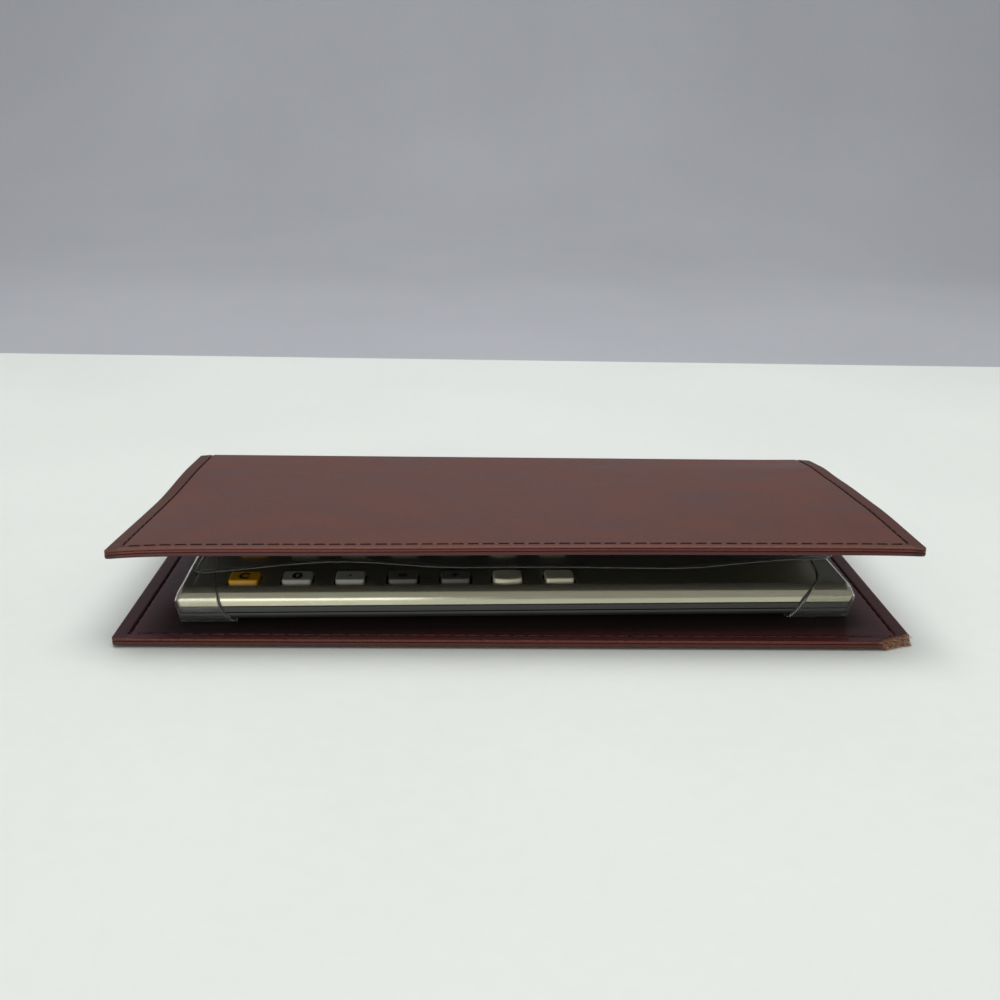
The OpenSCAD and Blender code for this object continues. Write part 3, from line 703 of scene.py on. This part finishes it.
# A spark-eroded mould leaves the plastic matt, with a fine even grain; the frame's is polished to a satin.
dark_plastic = ("#424341", "#383937", 6, 0.4, 0.25, 0.012)
case_dark = mottled("case_matt_moulded_plastic", *dark_plastic)
case_lit_top = mottled("case_painted_lit_moulded_plastic", *dark_plastic)
case_grey = mottled("frame_satin_moulded_plastic", "#5b5c5a", "#50514f", 6, 0.36, 0.25, 0.01)
for material, rubbed_and_lit in ((case_lit_top, "#68696b"), (case_grey, "#5b5c5a")):
    # Painted shade blackens the groove on the parting line, and painted light makes the upper part of the
    # bottom below it paler.
    tree = material.node_tree
    shader = tree.nodes["Principled BSDF"]
    where = add_node(tree, "TexCoord", out="Object")
    height = add_node(tree, "SeparateXYZ", {0: where}, out="Z")
    pale = add_node(tree, "MapRange", {0: height, 1: lit_band_z[0], 2: lit_band_z[1]})
    groove_shade = add_node(tree, "Math", {0: height, 1: groove_shade_z, 2: groove_shade_half}, operation="COMPARE")
    mixed = shader.inputs["Base Color"].links[0].from_socket
    for share, colour in ((pale, rubbed_and_lit), (groove_shade, "#080808")):
        mixed = add_node(tree, "Mix", {0: share, 6: mixed, 7: linear(colour)}, data_type="RGBA", out=2)
    tree.links.new(mixed, shader.inputs["Base Color"])
dress("bottom_case", case_lit_top)
dress("battery_door", case_dark)
dress("mid_frame", case_grey)

# Face plate. A sheet of champagne-anodised aluminium, rolled down at front and rear and sloped at its ends.
# It is brushed along its length and pierced for keys, display and switch, with slightly rounded edges.
on_calculator = Matrix.Translation((0.0001, -0.0027, 0)) @ Matrix.Rotation(math.radians(1.8), 4, "Z")
case_half = (72.45, 30.0)
plate_low = 5.45
plate_t = 0.6
face_z = 9.3
roll_z = 6.6
roll_back = 1.922
foot_lean = 0.176
key_size = (6.25, 5.0)
key_columns = [-58.75 + 11.2333 * c for c in range(7)]
key_rows = [-24.3 + 15.6667 * r for r in range(4)]
key_gap = 0.45
window_at = (42.45, 14.5)
switch_at = (55.45, -6)
# Brush lines streak what the face mirrors; about 0.1 mm apart in truth, they are drawn at 0.25 mm.
# The clear anodic layer over the metal scatters a little light, so the metal is not drawn as a bare one.
champagne_metal, tree = new_material("face_brushed_champagne_aluminium")
where = add_node(tree, "TexCoord", out="Object")
lines = add_node(tree, "Mapping", {"Vector": where, "Scale": (25, 4000, 4000)})
lines = add_node(tree, "TexNoise", {"Vector": lines, "Scale": 1, "Detail": 2}, out="Fac")
cloud = add_node(tree, "TexNoise", {"Vector": where, "Scale": 120, "Detail": 3}, out="Fac")
tone = add_node(tree, "Mix", {0: 0.4, 2: lines, 3: cloud}, data_type="FLOAT")
tone = add_node(tree, "MapRange", {0: tone, 1: 0.3, 2: 0.7})
colours = {6: linear("#c2bfa7"), 7: linear("#cbc8b1")}
mixed = add_node(tree, "Mix", {0: tone, **colours}, data_type="RGBA", out=2)
dull = add_node(tree, "MapRange", {0: lines, 1: 0.3, 2: 0.7, 3: 0.14, 4: 0.23})
bump = add_node(tree, "Bump", {"Strength": 0.25, "Distance": 0.000004, "Height": lines})
inputs = {"Base Color": mixed, "Roughness": dull, "Normal": bump, "Metallic": 0.88}
shader = add_node(tree, "BsdfPrincipled", inputs)
add_node(tree, "OutputMaterial", {"Surface": shader})


def round_outline(half_x, half_y, r, arc=6):
    """Points round a rectangle with round corners, from the right front corner on, anticlockwise."""
    made = []
    for quarter, (sx, sy) in enumerate(((1, -1), (1, 1), (-1, 1), (-1, -1))):
        for k in range(arc + 1):
            angle = math.radians(-90 + 90 * quarter + 90 * k / arc)
            middle = (sx * (half_x - r), sy * (half_y - r))
            made.append((middle[0] + r * math.cos(angle), middle[1] + r * math.sin(angle)))
    return made


def barrel_outline(half_x, half_y, bulge, grow=0.0, count=9):
    """Points round a key whose front and rear swell out, in the same order."""
    r = (half_x**2 + bulge**2) / (2 * bulge)
    made = []
    for sign in (-1, 1):
        for k in range(count + 1):
            x = -sign * (half_x + grow) * (2 * k / count - 1)
            made.append((x, sign * (half_y + bulge - r + math.sqrt(max((r + grow) ** 2 - x**2, 0)))))
    return made


def key_outline(column, grow):
    """Outline of a key cap in that column, grown all round."""
    if column == 5:
        return barrel_outline(key_size[0] / 2, (key_size[1] - 0.6) / 2, 0.6, grow)
    return round_outline(key_size[0] / 2 + grow, key_size[1] / 2 + grow, max(0.7 + grow, 0.12))


def ring_at(outline, z, x=0.0, y=0.0):
    """An outline as a ring of points at a height."""
    return [(x + px, y + py, z) for px, py in outline]


def bridge(work, rings):
    """Joins closed rings of points, equal in number, by smooth faces."""
    for low, high in zip(rings[:-1], rings[1:]):
        for i in range(len(low)):
            k = (i + 1) % len(low)
            work.faces.new((low[i], low[k], high[k], high[i])).smooth = True


# The rim: a foot that leans back, then a roll at front and rear, and a steep slope at the ends.
plate = bmesh.new()
slope = [(5.45, 0.6), (6.0, 0.45), (6.6, 0.25), (7.05, 0.22), (7.5, 0.42), (8.03, 0.72), (8.6, 1.03)]
slope += [(face_z, 1.42)]
roll_h = face_z - roll_z
rim_rings = []
for z in [plate_low, 5.8, 6.2, *(roll_z + roll_h * np.sin(np.radians(range(0, 91, 6))))]:
    turned = max(z - roll_z, 0) / roll_h
    rolled = foot_lean * (z - plate_low) + roll_back * (1 - math.sqrt(max(1 - turned**2, 0)))
    sloped = np.interp(z, *zip(*slope))
    ring = round_outline(case_half[0] - sloped, case_half[1] - rolled, 0.9)
    rim_rings.append([plate.verts.new((x, y, z)) for x, y in ring])
inside = []
for z in (plate_low, plate_low + 0.8):
    inside.append([plate.verts.new((v.co.x * 0.992, v.co.y * 0.98, z)) for v in rim_rings[0]])
bridge(plate, [*reversed(inside), *rim_rings])
openings = []
for c, x in enumerate(key_columns):
    openings += [[(x + px, y + py) for px, py in key_outline(c, key_gap)] for y in key_rows]
openings.append([(window_at[0] + px, window_at[1] + py) for px, py in round_outline(20, 7.5, 0.3, 3)])
openings.append([(switch_at[0] + px, switch_at[1] + py) for px, py in round_outline(3.95, 1.25, 0.3, 3)])
edges = [plate.edges.get((rim_rings[-1][i - 1], rim_rings[-1][i])) for i in range(len(rim_rings[-1]))]
for hole in openings:
    middle = Vector((sum(p[0] for p in hole) / len(hole), sum(p[1] for p in hole) / len(hole)))
    rings = []
    for grow, down in ((0.14, 0), (0.04, 0.03), (0, 0.12), (0, plate_t)):
        ring = []
        for x, y in hole:
            grown = (x + math.copysign(grow, x - middle.x), y + math.copysign(grow, y - middle.y))
            ring.append(plate.verts.new((*grown, face_z - down)))
        rings.append(ring)
    bridge(plate, rings)
    edges += [plate.edges.get((rings[0][i - 1], rings[0][i])) for i in range(len(hole))]
filled = bmesh.ops.triangle_fill(plate, use_beauty=True, use_dissolve=False, edges=edges)
for face in filled["geom"]:
    if isinstance(face, bmesh.types.BMFace):
        face.smooth = False
bmesh.ops.recalc_face_normals(plate, faces=plate.faces)
bmesh.ops.scale(plate, vec=(0.001, 0.001, 0.001), verts=plate.verts)
plate_mesh = bpy.data.meshes.new("face_plate_metal")
plate.to_mesh(plate_mesh)
plate.free()
plate_mesh.transform(on_calculator)
plate_mesh.materials.append(champagne_metal)
face_plate = linked("face_plate_metal", plate_mesh)
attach(face_plate, "base")
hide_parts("face_plate")

# Keys. Caps moulded in plastic with rounded shoulders, and a flange that holds them under the face.
# Most carry a legend printed in dark ink; the eight caps of the two right columns are metallic and bare.
key_low = 7.15
key_top = 10.2
shoulder = 0.36
flange_h = 0.55
flange_out = 0.8
draft = 0.06
legend_z = key_top - 0.035
# Dyed plastic from a polished mould, dulled by fingers to a satin.
key_amber = mottled("key_amber_moulded_plastic", "#d39a08", "#bd8805", 2.5, 0.34, 0.2, 0.006)
key_grey = mottled("key_grey_moulded_plastic", "#a8a79c", "#9a998f", 2.5, 0.36, 0.2, 0.006)
key_dark = mottled("key_dark_moulded_plastic", "#605e57", "#54524b", 2.5, 0.36, 0.2, 0.006)
# Flakes in the champagne paint give it a metallic glint.
flakes = {"Metallic": 0.35}
key_champagne = mottled(
    "key_champagne_painted_plastic", "#d6d2b8", "#cac6ac", 2.5, 0.36, 0.15, 0.006, **flakes
)
# Screened ink lies as a thin matt black layer.
legend_ink = mottled("legend_black_ink", "#15130f", "#0e0c0a", 0.5, 0.5, 0.1, 0.004)
key_names = [
    "clear clear_entry percent root",
    "0 1 4 7",
    "point 2 5 8",
    "equals 3 6 9",
    "plus minus times divide",
    "recall memory_clear memory_minus memory_plus",
    "balance deposit check change_sign",
]
signs = ["C CE % √", "0 1 4 7", "· 2 5 8", "= 3 6 9", "+ − × ÷"]


def frozen(shown):
    """The mesh that an object shows; the object itself is deleted."""
    bpy.context.view_layer.update()
    mesh = bpy.data.meshes.new_from_object(shown.evaluated_get(bpy.context.evaluated_depsgraph_get()))
    bpy.data.objects.remove(shown)
    return mesh


def legend_mesh(sign):
    """A legend as a thin mesh round the origin, with letters and digits drawn to one width."""
    text = bpy.data.curves.new("legend", "FONT")
    text.body = sign
    text.size = 0.0042 if len(sign) == 1 else 0.0032
    text.offset = 0.0002 if sign in "C0123456789" else 0.0001
    text.space_character = 1.25
    text.align_x = "CENTER"
    text.align_y = "CENTER"
    text.extrude = 0.00002
    text.resolution_u = 4
    mesh = frozen(linked("legend", text))
    spread = np.array([v.co for v in mesh.vertices])
    centre = (spread.max(0) + spread.min(0)) / 2
    wide = spread[:, 0].max() - spread[:, 0].min()
    narrowed = 0.85 if sign in "·=+−×÷√%" else min(0.0011 * (1 + len(sign)) / wide, 1.2)
    mesh.transform(Matrix.Diagonal((narrowed, 1, 1, 1)) @ Matrix.Translation((-centre[0], -centre[1], 0)))
    mesh.materials.clear()
    mesh.materials.append(legend_ink)
    return mesh


for c, column in enumerate(key_names):
    for r, label in enumerate(column.split()):
        name = "key_" + label
        colour, slot = key_grey, "grey_key"
        if c == 0:
            colour, slot = key_amber, "amber_key"
        elif c == 4 or name == "key_equals":
            colour, slot = key_dark, "dark_key"
        elif c > 4:
            colour, slot = key_champagne, "champagne_key"
        rings = [ring_at(key_outline(c, flange_out), z) for z in (key_low, key_low + flange_h)]
        rings.append(ring_at(key_outline(c, 0), key_low + flange_h + 0.05))
        for k in range(7):
            angle = k / 6 * math.pi / 2
            inset = draft + shoulder * (1 - math.cos(angle))
            rings.append(ring_at(key_outline(c, -inset), key_top - shoulder * (1 - math.sin(angle))))
        rim = key_outline(c, -draft - shoulder)
        for scale, dip in ((0.7, 0.03), (0.4, 0.06), (0.12, 0.08)):
            rings.append([(x * scale, y * scale, key_top - dip) for x, y in rim])
        key = mesh_object("cap_" + label, *loft(rings), colour)
        at_key = on_calculator @ Matrix.Translation((key_columns[c] / 1000, key_rows[r] / 1000, 0))
        key.data.transform(at_key)
        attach(key, name)
        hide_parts(name)
        if c < len(signs):
            inked = legend_mesh(signs[c].split()[r])
            inked.transform(at_key @ Matrix.Translation((0, 0, legend_z / 1000)))
            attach(linked("legend_" + label, inked), name)

# Display. A clear acrylic pane sits flush in the face over a reflective liquid crystal glass, grey-green.
# The glass shows a zero and a point at its right end, as such a calculator does when it is on.
digit_at = (55.7, 11.6)
point_at = (59.6, 11.5)
digit_w = 2.6
digit_h = 2.7
digit_lean = 0.25
segment_half = 0.28
segment_z = (7.79, 7.82)


def see_through(tree, body, tint):
    """Gives a clear material its output: its body, and a plain tint to shadow rays, so that lamps pass."""
    lets_by = add_node(tree, "BsdfTransparent", {"Color": linear(tint)})
    shadow = add_node(tree, "LightPath", out="Is Shadow Ray")
    mixed = add_node(tree, "MixShader", {0: shadow, 1: body, 2: lets_by})
    add_node(tree, "OutputMaterial", {"Surface": mixed})


# Polished acrylic is clear and mirrors what is above it.
pane, tree = new_material("display_clear_acrylic_pane")
inputs = {"Base Color": linear("#f2f4f2"), "Roughness": 0.06, "IOR": 1.49, "Transmission Weight": 1.0}
see_through(tree, add_node(tree, "BsdfPrincipled", inputs), "#f0f2f0")
dress("display_window", pane)
# The polariser behind the crystal gives an even grey-green, and a segment that is on shuts off its light.
crystal = mottled("display_liquid_crystal_glass", "#98a08c", "#8f9784", 5, 0.3, 0.3, 0.002)
dress("display_glass", crystal)
segment_ink = mottled("display_dark_segment", "#23251f", "#1b1d18", 1, 0.4, 0.2, 0.001)
bars = [((0, 0), (0, 1)), ((0, 1), (0, 2)), ((1, 0), (1, 1)), ((1, 1), (1, 2))]
bars += [((0, 0), (1, 0)), ((0, 2), (1, 2))]
parts = []
for bar in bars:
    a, b = (Vector((x * digit_w + y * digit_lean, y * digit_h)) for x, y in bar)
    ahead = (b - a).normalized()
    across = Vector((-ahead.y, ahead.x)) * segment_half
    ends = [a + ahead * 0.2, a + ahead * 0.5 + across, b - ahead * 0.5 + across]
    ends += [b - ahead * 0.2, b - ahead * 0.5 - across, a + ahead * 0.5 - across]
    parts.append(loft([ring_at(ends, z, *digit_at) for z in segment_z]))
parts.append(loft([ring_at(round_outline(0.35, 0.35, 0.1, 2), z, *point_at) for z in segment_z]))
digits = mesh_object("display_zero", *gather(parts), segment_ink, smooth=False)
digits.data.transform(on_calculator)
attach(digits, "base")

# Power slider. A small ribbed knob of dark plastic that slides in its slot through the face.
# Its stem and the flange that holds it under the frame are moulded with it.
knob_half = (3, 2)
knob_z = (9.35, 9.95)
rib_z = (10.0, 10.25)
rib_count = 8
slider_at = (0.05345, -0.006, 0)
ribs = []
for k in range(rib_count):
    x = -knob_half[0] + 2 * knob_half[0] * k / rib_count
    ribs += [(x + 0.12, rib_z[1] if k else 10.1), (x + 0.63, rib_z[1] if k < rib_count - 1 else 10.1)]
    ribs += [(x + 0.7, rib_z[0]), (x + 0.74, rib_z[0])]
profile = [(-knob_half[0], knob_z[0]), (-knob_half[0], knob_z[1]), *ribs[:-2]]
profile += [(knob_half[0], knob_z[1]), (knob_half[0], knob_z[0])]
knob = loft([[(x, y, z) for x, z in profile] for y in (-knob_half[1], -1.9, 1.9, knob_half[1])])
stem = loft([ring_at(round_outline(1.5, 0.8, 0.1, 2), z) for z in (7.7, 9.4)])
foot = loft([ring_at(round_outline(3.5, 2, 0.2, 2), z) for z in (7.15, 7.75)])
slider = mesh_object("power_knob", *gather([knob, stem, foot]), case_dark, smooth=False)
slider.data.transform(on_calculator @ Matrix.Translation(slider_at))
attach(slider, "power_slider")
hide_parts("power_slider")

# Inside. A laminate board with its chip, a rubber mat, contact strips, two cells, brass springs and screws.
# They are bought-in or stamped parts that keep their CAD shape, and only show if the case is opened.
# Resist is glossy, epoxy and rubber are dull, the strips finely striped, and plating and brass bright.
metal = {"Metallic": 1.0}
laminate = mottled("board_green_solder_resist", "#3f5f3b", "#34502f", 4, 0.35, 0.3, 0.01)
black_epoxy = mottled("chip_black_epoxy", "#1d1d1d", "#141414", 2, 0.5, 0.2, 0.01)
silicone = mottled("mat_grey_silicone_rubber", "#5a5952", "#4d4c46", 4, 0.6, 0.3, 0.01)
zebra = mottled("strip_striped_rubber", "#3b3d3d", "#181a1a", 1, 0.6, 0.2, 0.005, stretch=(1, 0.01, 0.01))
steel = mottled("steel_nickel_plated", "#c9c7c1", "#b9b7b1", 3, 0.25, 0.2, 0.002, **metal)
brass = mottled("contact_stamped_brass", "#c8a862", "#b4934f", 3, 0.3, 0.2, 0.002, **metal)
dress("circuit_board", laminate)
dress("logic_chip", black_epoxy)
dress("key_mat", silicone)
dress("contact_strip", zebra)
dress("slide_switch", black_epoxy)
dress("button_cells", steel)
dress("case_screws", steel)
dress("battery_contacts", brass)

# Clear pocket. The calculator sits in a pocket of clear vinyl film, welded to the leather: a sleeve round
# each end, cut in a slow curve, a wall along the rear, and a floor.
# The film is calendered, 0.3 mm thick; it is drawn at half of that, since its cut edges looked too broad.
film_gap = 0.19
film_drawn = 0.15
film_low = 2.13
foot_r = 0.35
sleeve_r = 1.2
film_roll = 2.6 + film_gap
wall_y = case_half[1] + film_gap
end_x = case_half[0] + film_gap
roof = face_z + film_gap


def clear_film(name, haze, ripple):
    """Plasticised vinyl: clear, glossy and a little hazy, with slow ripples from rolling."""
    made, tree = new_material(name)
    where = add_node(tree, "TexCoord", out="Object")
    waves = add_node(tree, "TexNoise", {"Vector": where, "Scale": 90, "Detail": 2}, out="Fac")
    bump = add_node(tree, "Bump", {"Strength": 1, "Distance": ripple / 1000, "Height": waves})
    inputs = {"Base Color": linear("#f3f3f0"), "Roughness": 0.07, "IOR": 1.53, "Normal": bump}
    shader = add_node(tree, "BsdfPrincipled", {**inputs, "Transmission Weight": 1.0})
    cloudy = add_node(tree, "BsdfDiffuse", {"Color": linear("#dcdcd8")})
    body = add_node(tree, "MixShader", {0: haze, 1: shader, 2: cloudy})
    see_through(tree, body, "#f0f0ee")
    return made


pocket_film = clear_film("film_clear_calendered_vinyl", 0.03, 0.12)
# A cut edge of the film gathers the light that runs inside it, and shows as a pale, uneven line.
film_edge, tree = new_material("film_knife_cut_edge")
where = add_node(tree, "TexCoord", out="Object")
uneven = add_node(tree, "TexNoise", {"Vector": where, "Scale": 350, "Detail": 2}, out="Fac")
uneven = add_node(tree, "MapRange", {0: uneven, 1: 0.35, 2: 0.65, 3: 0.15, 4: 0.55})
pale = add_node(tree, "BsdfPrincipled", {"Base Color": linear("#f4f4ee"), "Roughness": 0.4, "IOR": 1.53})
through = add_node(tree, "BsdfTranslucent", {"Color": linear("#f4f4ee")})
pale = add_node(tree, "MixShader", {0: 0.5, 1: pale, 2: through})
lets_by = add_node(tree, "BsdfTransparent", {"Color": linear("#f0f0ee")})
mixed = add_node(tree, "MixShader", {0: uneven, 1: lets_by, 2: pale})
add_node(tree, "OutputMaterial", {"Surface": mixed})


def film_piece(name, patches, material, edge, thick, welded=0.0):
    """Film along patches of points, as one closed mesh with cut edges above the height of its weld."""
    parts = []
    for patch in patches:
        parts.append((patch.reshape(-1, 3).tolist(), grid_quads(*patch.shape[:2]).tolist()))
    middle = mesh_object(name + "_middle", *gather(parts), material)
    middle.data.materials.append(edge)
    shell = middle.modifiers.new("thickness", "SOLIDIFY")
    shell.thickness = thick / 1000
    shell.offset = 0
    shell.material_offset_rim = 1
    mesh = frozen(middle)
    mesh.name = name
    for face in mesh.polygons:
        face.use_smooth = face.material_index == 0
        face.material_index *= face.center.z > welded / 1000
    mesh.transform(on_calculator)
    return linked(name, mesh)


def evened(values, times):
    """Values whose course along the last axis is smoothed several times."""
    for _ in range(times):
        values[..., 1:-1] = 0.25 * values[..., :-2] + 0.5 * values[..., 1:-1] + 0.25 * values[..., 2:]
    return values


def sleeve_side(wall_points):
    """One side of a sleeve's section, as distances back from its wall and heights: foot, wall and roll."""
    made = [(back, film_low) for back in (2.6, 1.9, 1.2, 0.7)]
    for q in np.radians(range(0, 91, 15)):
        made.append((foot_r - foot_r * math.sin(q), film_low + foot_r - foot_r * math.cos(q)))
    made += [(0, z) for z in np.linspace(film_low + foot_r + 0.4, roof - film_roll, wall_points)]
    for q in np.radians(range(9, 91, 9)):
        made.append((film_roll - film_roll * math.cos(q), roof - film_roll + film_roll * math.sin(q)))
    return made


outline = [(back - wall_y, z) for back, z in sleeve_side(11)]
flat_y = wall_y - film_roll - 1.5
outline += [(y, roof) for y in np.linspace(-flat_y, flat_y, 36)]
outline += [(wall_y - back, z) for back, z in reversed(sleeve_side(6))]
outline = np.array(outline)
run = np.concatenate([[0], np.cumsum(np.hypot(*np.diff(outline, axis=0).T))])
left_cut = [(0, 59.6), (2.6, 60), (3.4, 60.9), (4.6, 62.1), (6.4, 63), (10.5, 63.9), (15, 65), (26, 66.1)]
left_cut += [(68, 66.3), (80, 66.1)]
right_cut = [(0, 57.6), (2.6, 57.9), (3.9, 59), (5.4, 60.3), (6.4, 60.8), (8.4, 62.3), (10.7, 63.8)]
right_cut += [(14, 65.7), (26, 67.7), (68, 67.1), (80, 66.7)]
patches = []
for sign, cuts in ((-1, left_cut), (1, right_cut)):
    cut_x = evened(np.interp(run, *zip(*cuts)), 3)
    rings = []
    for u in np.linspace(0, 1, 9):
        x = cut_x + u * (end_x - 3.25 - cut_x)
        slack = 0.05 * np.sin(run * 0.9 + u * 5) * (1 - u)
        z = outline[:, 1] + slack * (outline[:, 1] > 6)
        rings.append(np.stack([sign * x, outline[:, 0], z], axis=-1))
    # Towards its closed end, at a distance e from it, the sleeve is drawn in round the case's corners.
    for e in (2.6, 2.1, 1.8, 1.6, 1.45, 1.3, 1.15, 1.0, 0.86, 0.73, 0.61, 0.5, 0.41, 0.34, 0.29, 0.27):
        inset = sleeve_r - math.sqrt(sleeve_r**2 - max(sleeve_r - e, 0) ** 2)
        near = np.clip((1.8 - e) / 1.53, 0, 1)
        fall = 1.75 * near**1.5 + 0.3 * near**10
        near = np.clip((1.35 - e) / 1.08, 0, 1)
        rise = 2.95 * min(near / 0.55, 1) ** 1.2 + 0.75 * near**6
        y = outline[:, 0] * (1 - inset / wall_y)
        share = (outline[:, 1] - film_low) / (roof - film_low)
        z = film_low + rise + share * (roof - fall - rise - film_low)
        rings.append(np.stack([np.full_like(y, sign * (end_x - e)), y, z], axis=-1))
    last = rings[-1]
    mid_z = (last[:, 2].min() + last[:, 2].max()) / 2
    for k in (0.8, 0.4, 0.02):
        x = last[:, 0] + sign * 0.06 * (1 - k * k)
        rings.append(np.stack([x, last[:, 1] * (0.9 + 0.1 * k), mid_z + (last[:, 2] - mid_z) * k], axis=-1))
    patches.append(np.array(rings))
x, z = np.meshgrid(np.linspace(-66.2, 66.2, 60), np.linspace(film_low + foot_r, 10.45, 8))
patches.append(np.stack([x, np.full_like(x, wall_y), z], axis=-1))
x, y = np.meshgrid(np.linspace(-69.5, 69.5, 40), np.linspace(-27.5, 30, 20))
patches.append(np.stack([x, y, np.full_like(x, film_low)], axis=-1))
pocket = film_piece("clear_pocket_film", patches, pocket_film, film_edge, film_drawn, film_low + 0.15)
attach(pocket, "base")
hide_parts("clear_pocket")

# Clear flap. A loose sheet of thinner film, welded to the rear wall of the pocket, lies over the keys.
# It has taken a wave: its free edge stands 1 to 4 mm above the keys, and a weld line runs inside its edge.
flap_half = 69
flap_l = 57.1
flap_r = 5
flap_drawn = 0.2
flap_fold_z = 10.675
weld_in = 1.2
# The flap is of the same clear vinyl, a little hazier from handling.
flap_film = clear_film("flap_clear_calendered_vinyl", 0.04, 0.1)
wave = [(-70, 11.4), (-62.8, 12.3), (-55.7, 13.1), (-48.8, 13.8), (-38.4, 14.35), (-28, 13.8), (-17.8, 13)]
wave += [(-7.2, 13.0), (12.6, 12.6), (37, 12.5), (49.6, 13.5), (56.7, 14.1), (60.3, 14.3), (70, 14.4)]
near_edge = np.array([0, 0.3, 0.6, 0.85, 1.0, 1.1, 1.2, 1.3, 1.4, 1.6, 2.0, 2.6, 3.4, 4.2, 5.0])
flap_xs = np.concatenate([near_edge - flap_half, np.linspace(-63, 63, 85), flap_half - near_edge[::-1]])
flap_vs = np.concatenate([np.linspace(0, 50, 30), flap_l - near_edge[::-1]])
x, v = np.meshgrid(flap_xs, flap_vs)
rim_z = evened(np.interp(x, *zip(*wave)), 6)
side, front = flap_half - np.abs(x), flap_l - v
in_side, in_front = round_corner(side, front, flap_r)
px, pv = np.sign(x) * (flap_half - in_side), flap_l - in_front
out = pv / flap_l
z = flap_fold_z + (rim_z - flap_fold_z) * out**1.25 + 0.12 * np.sin(px / 7 + pv / 9) * out
z = z + 0.07 * np.exp(-(((np.minimum(side, front) - weld_in) / 0.16) ** 2))
px = px - np.clip(-px / flap_half, 0, 1) * out
flap_points = np.stack([px, wall_y - pv, z], axis=-1)
flap = film_piece("clear_flap_film", [flap_points], flap_film, flap_film, flap_drawn)
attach(flap, "flap")
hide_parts("clear_flap")
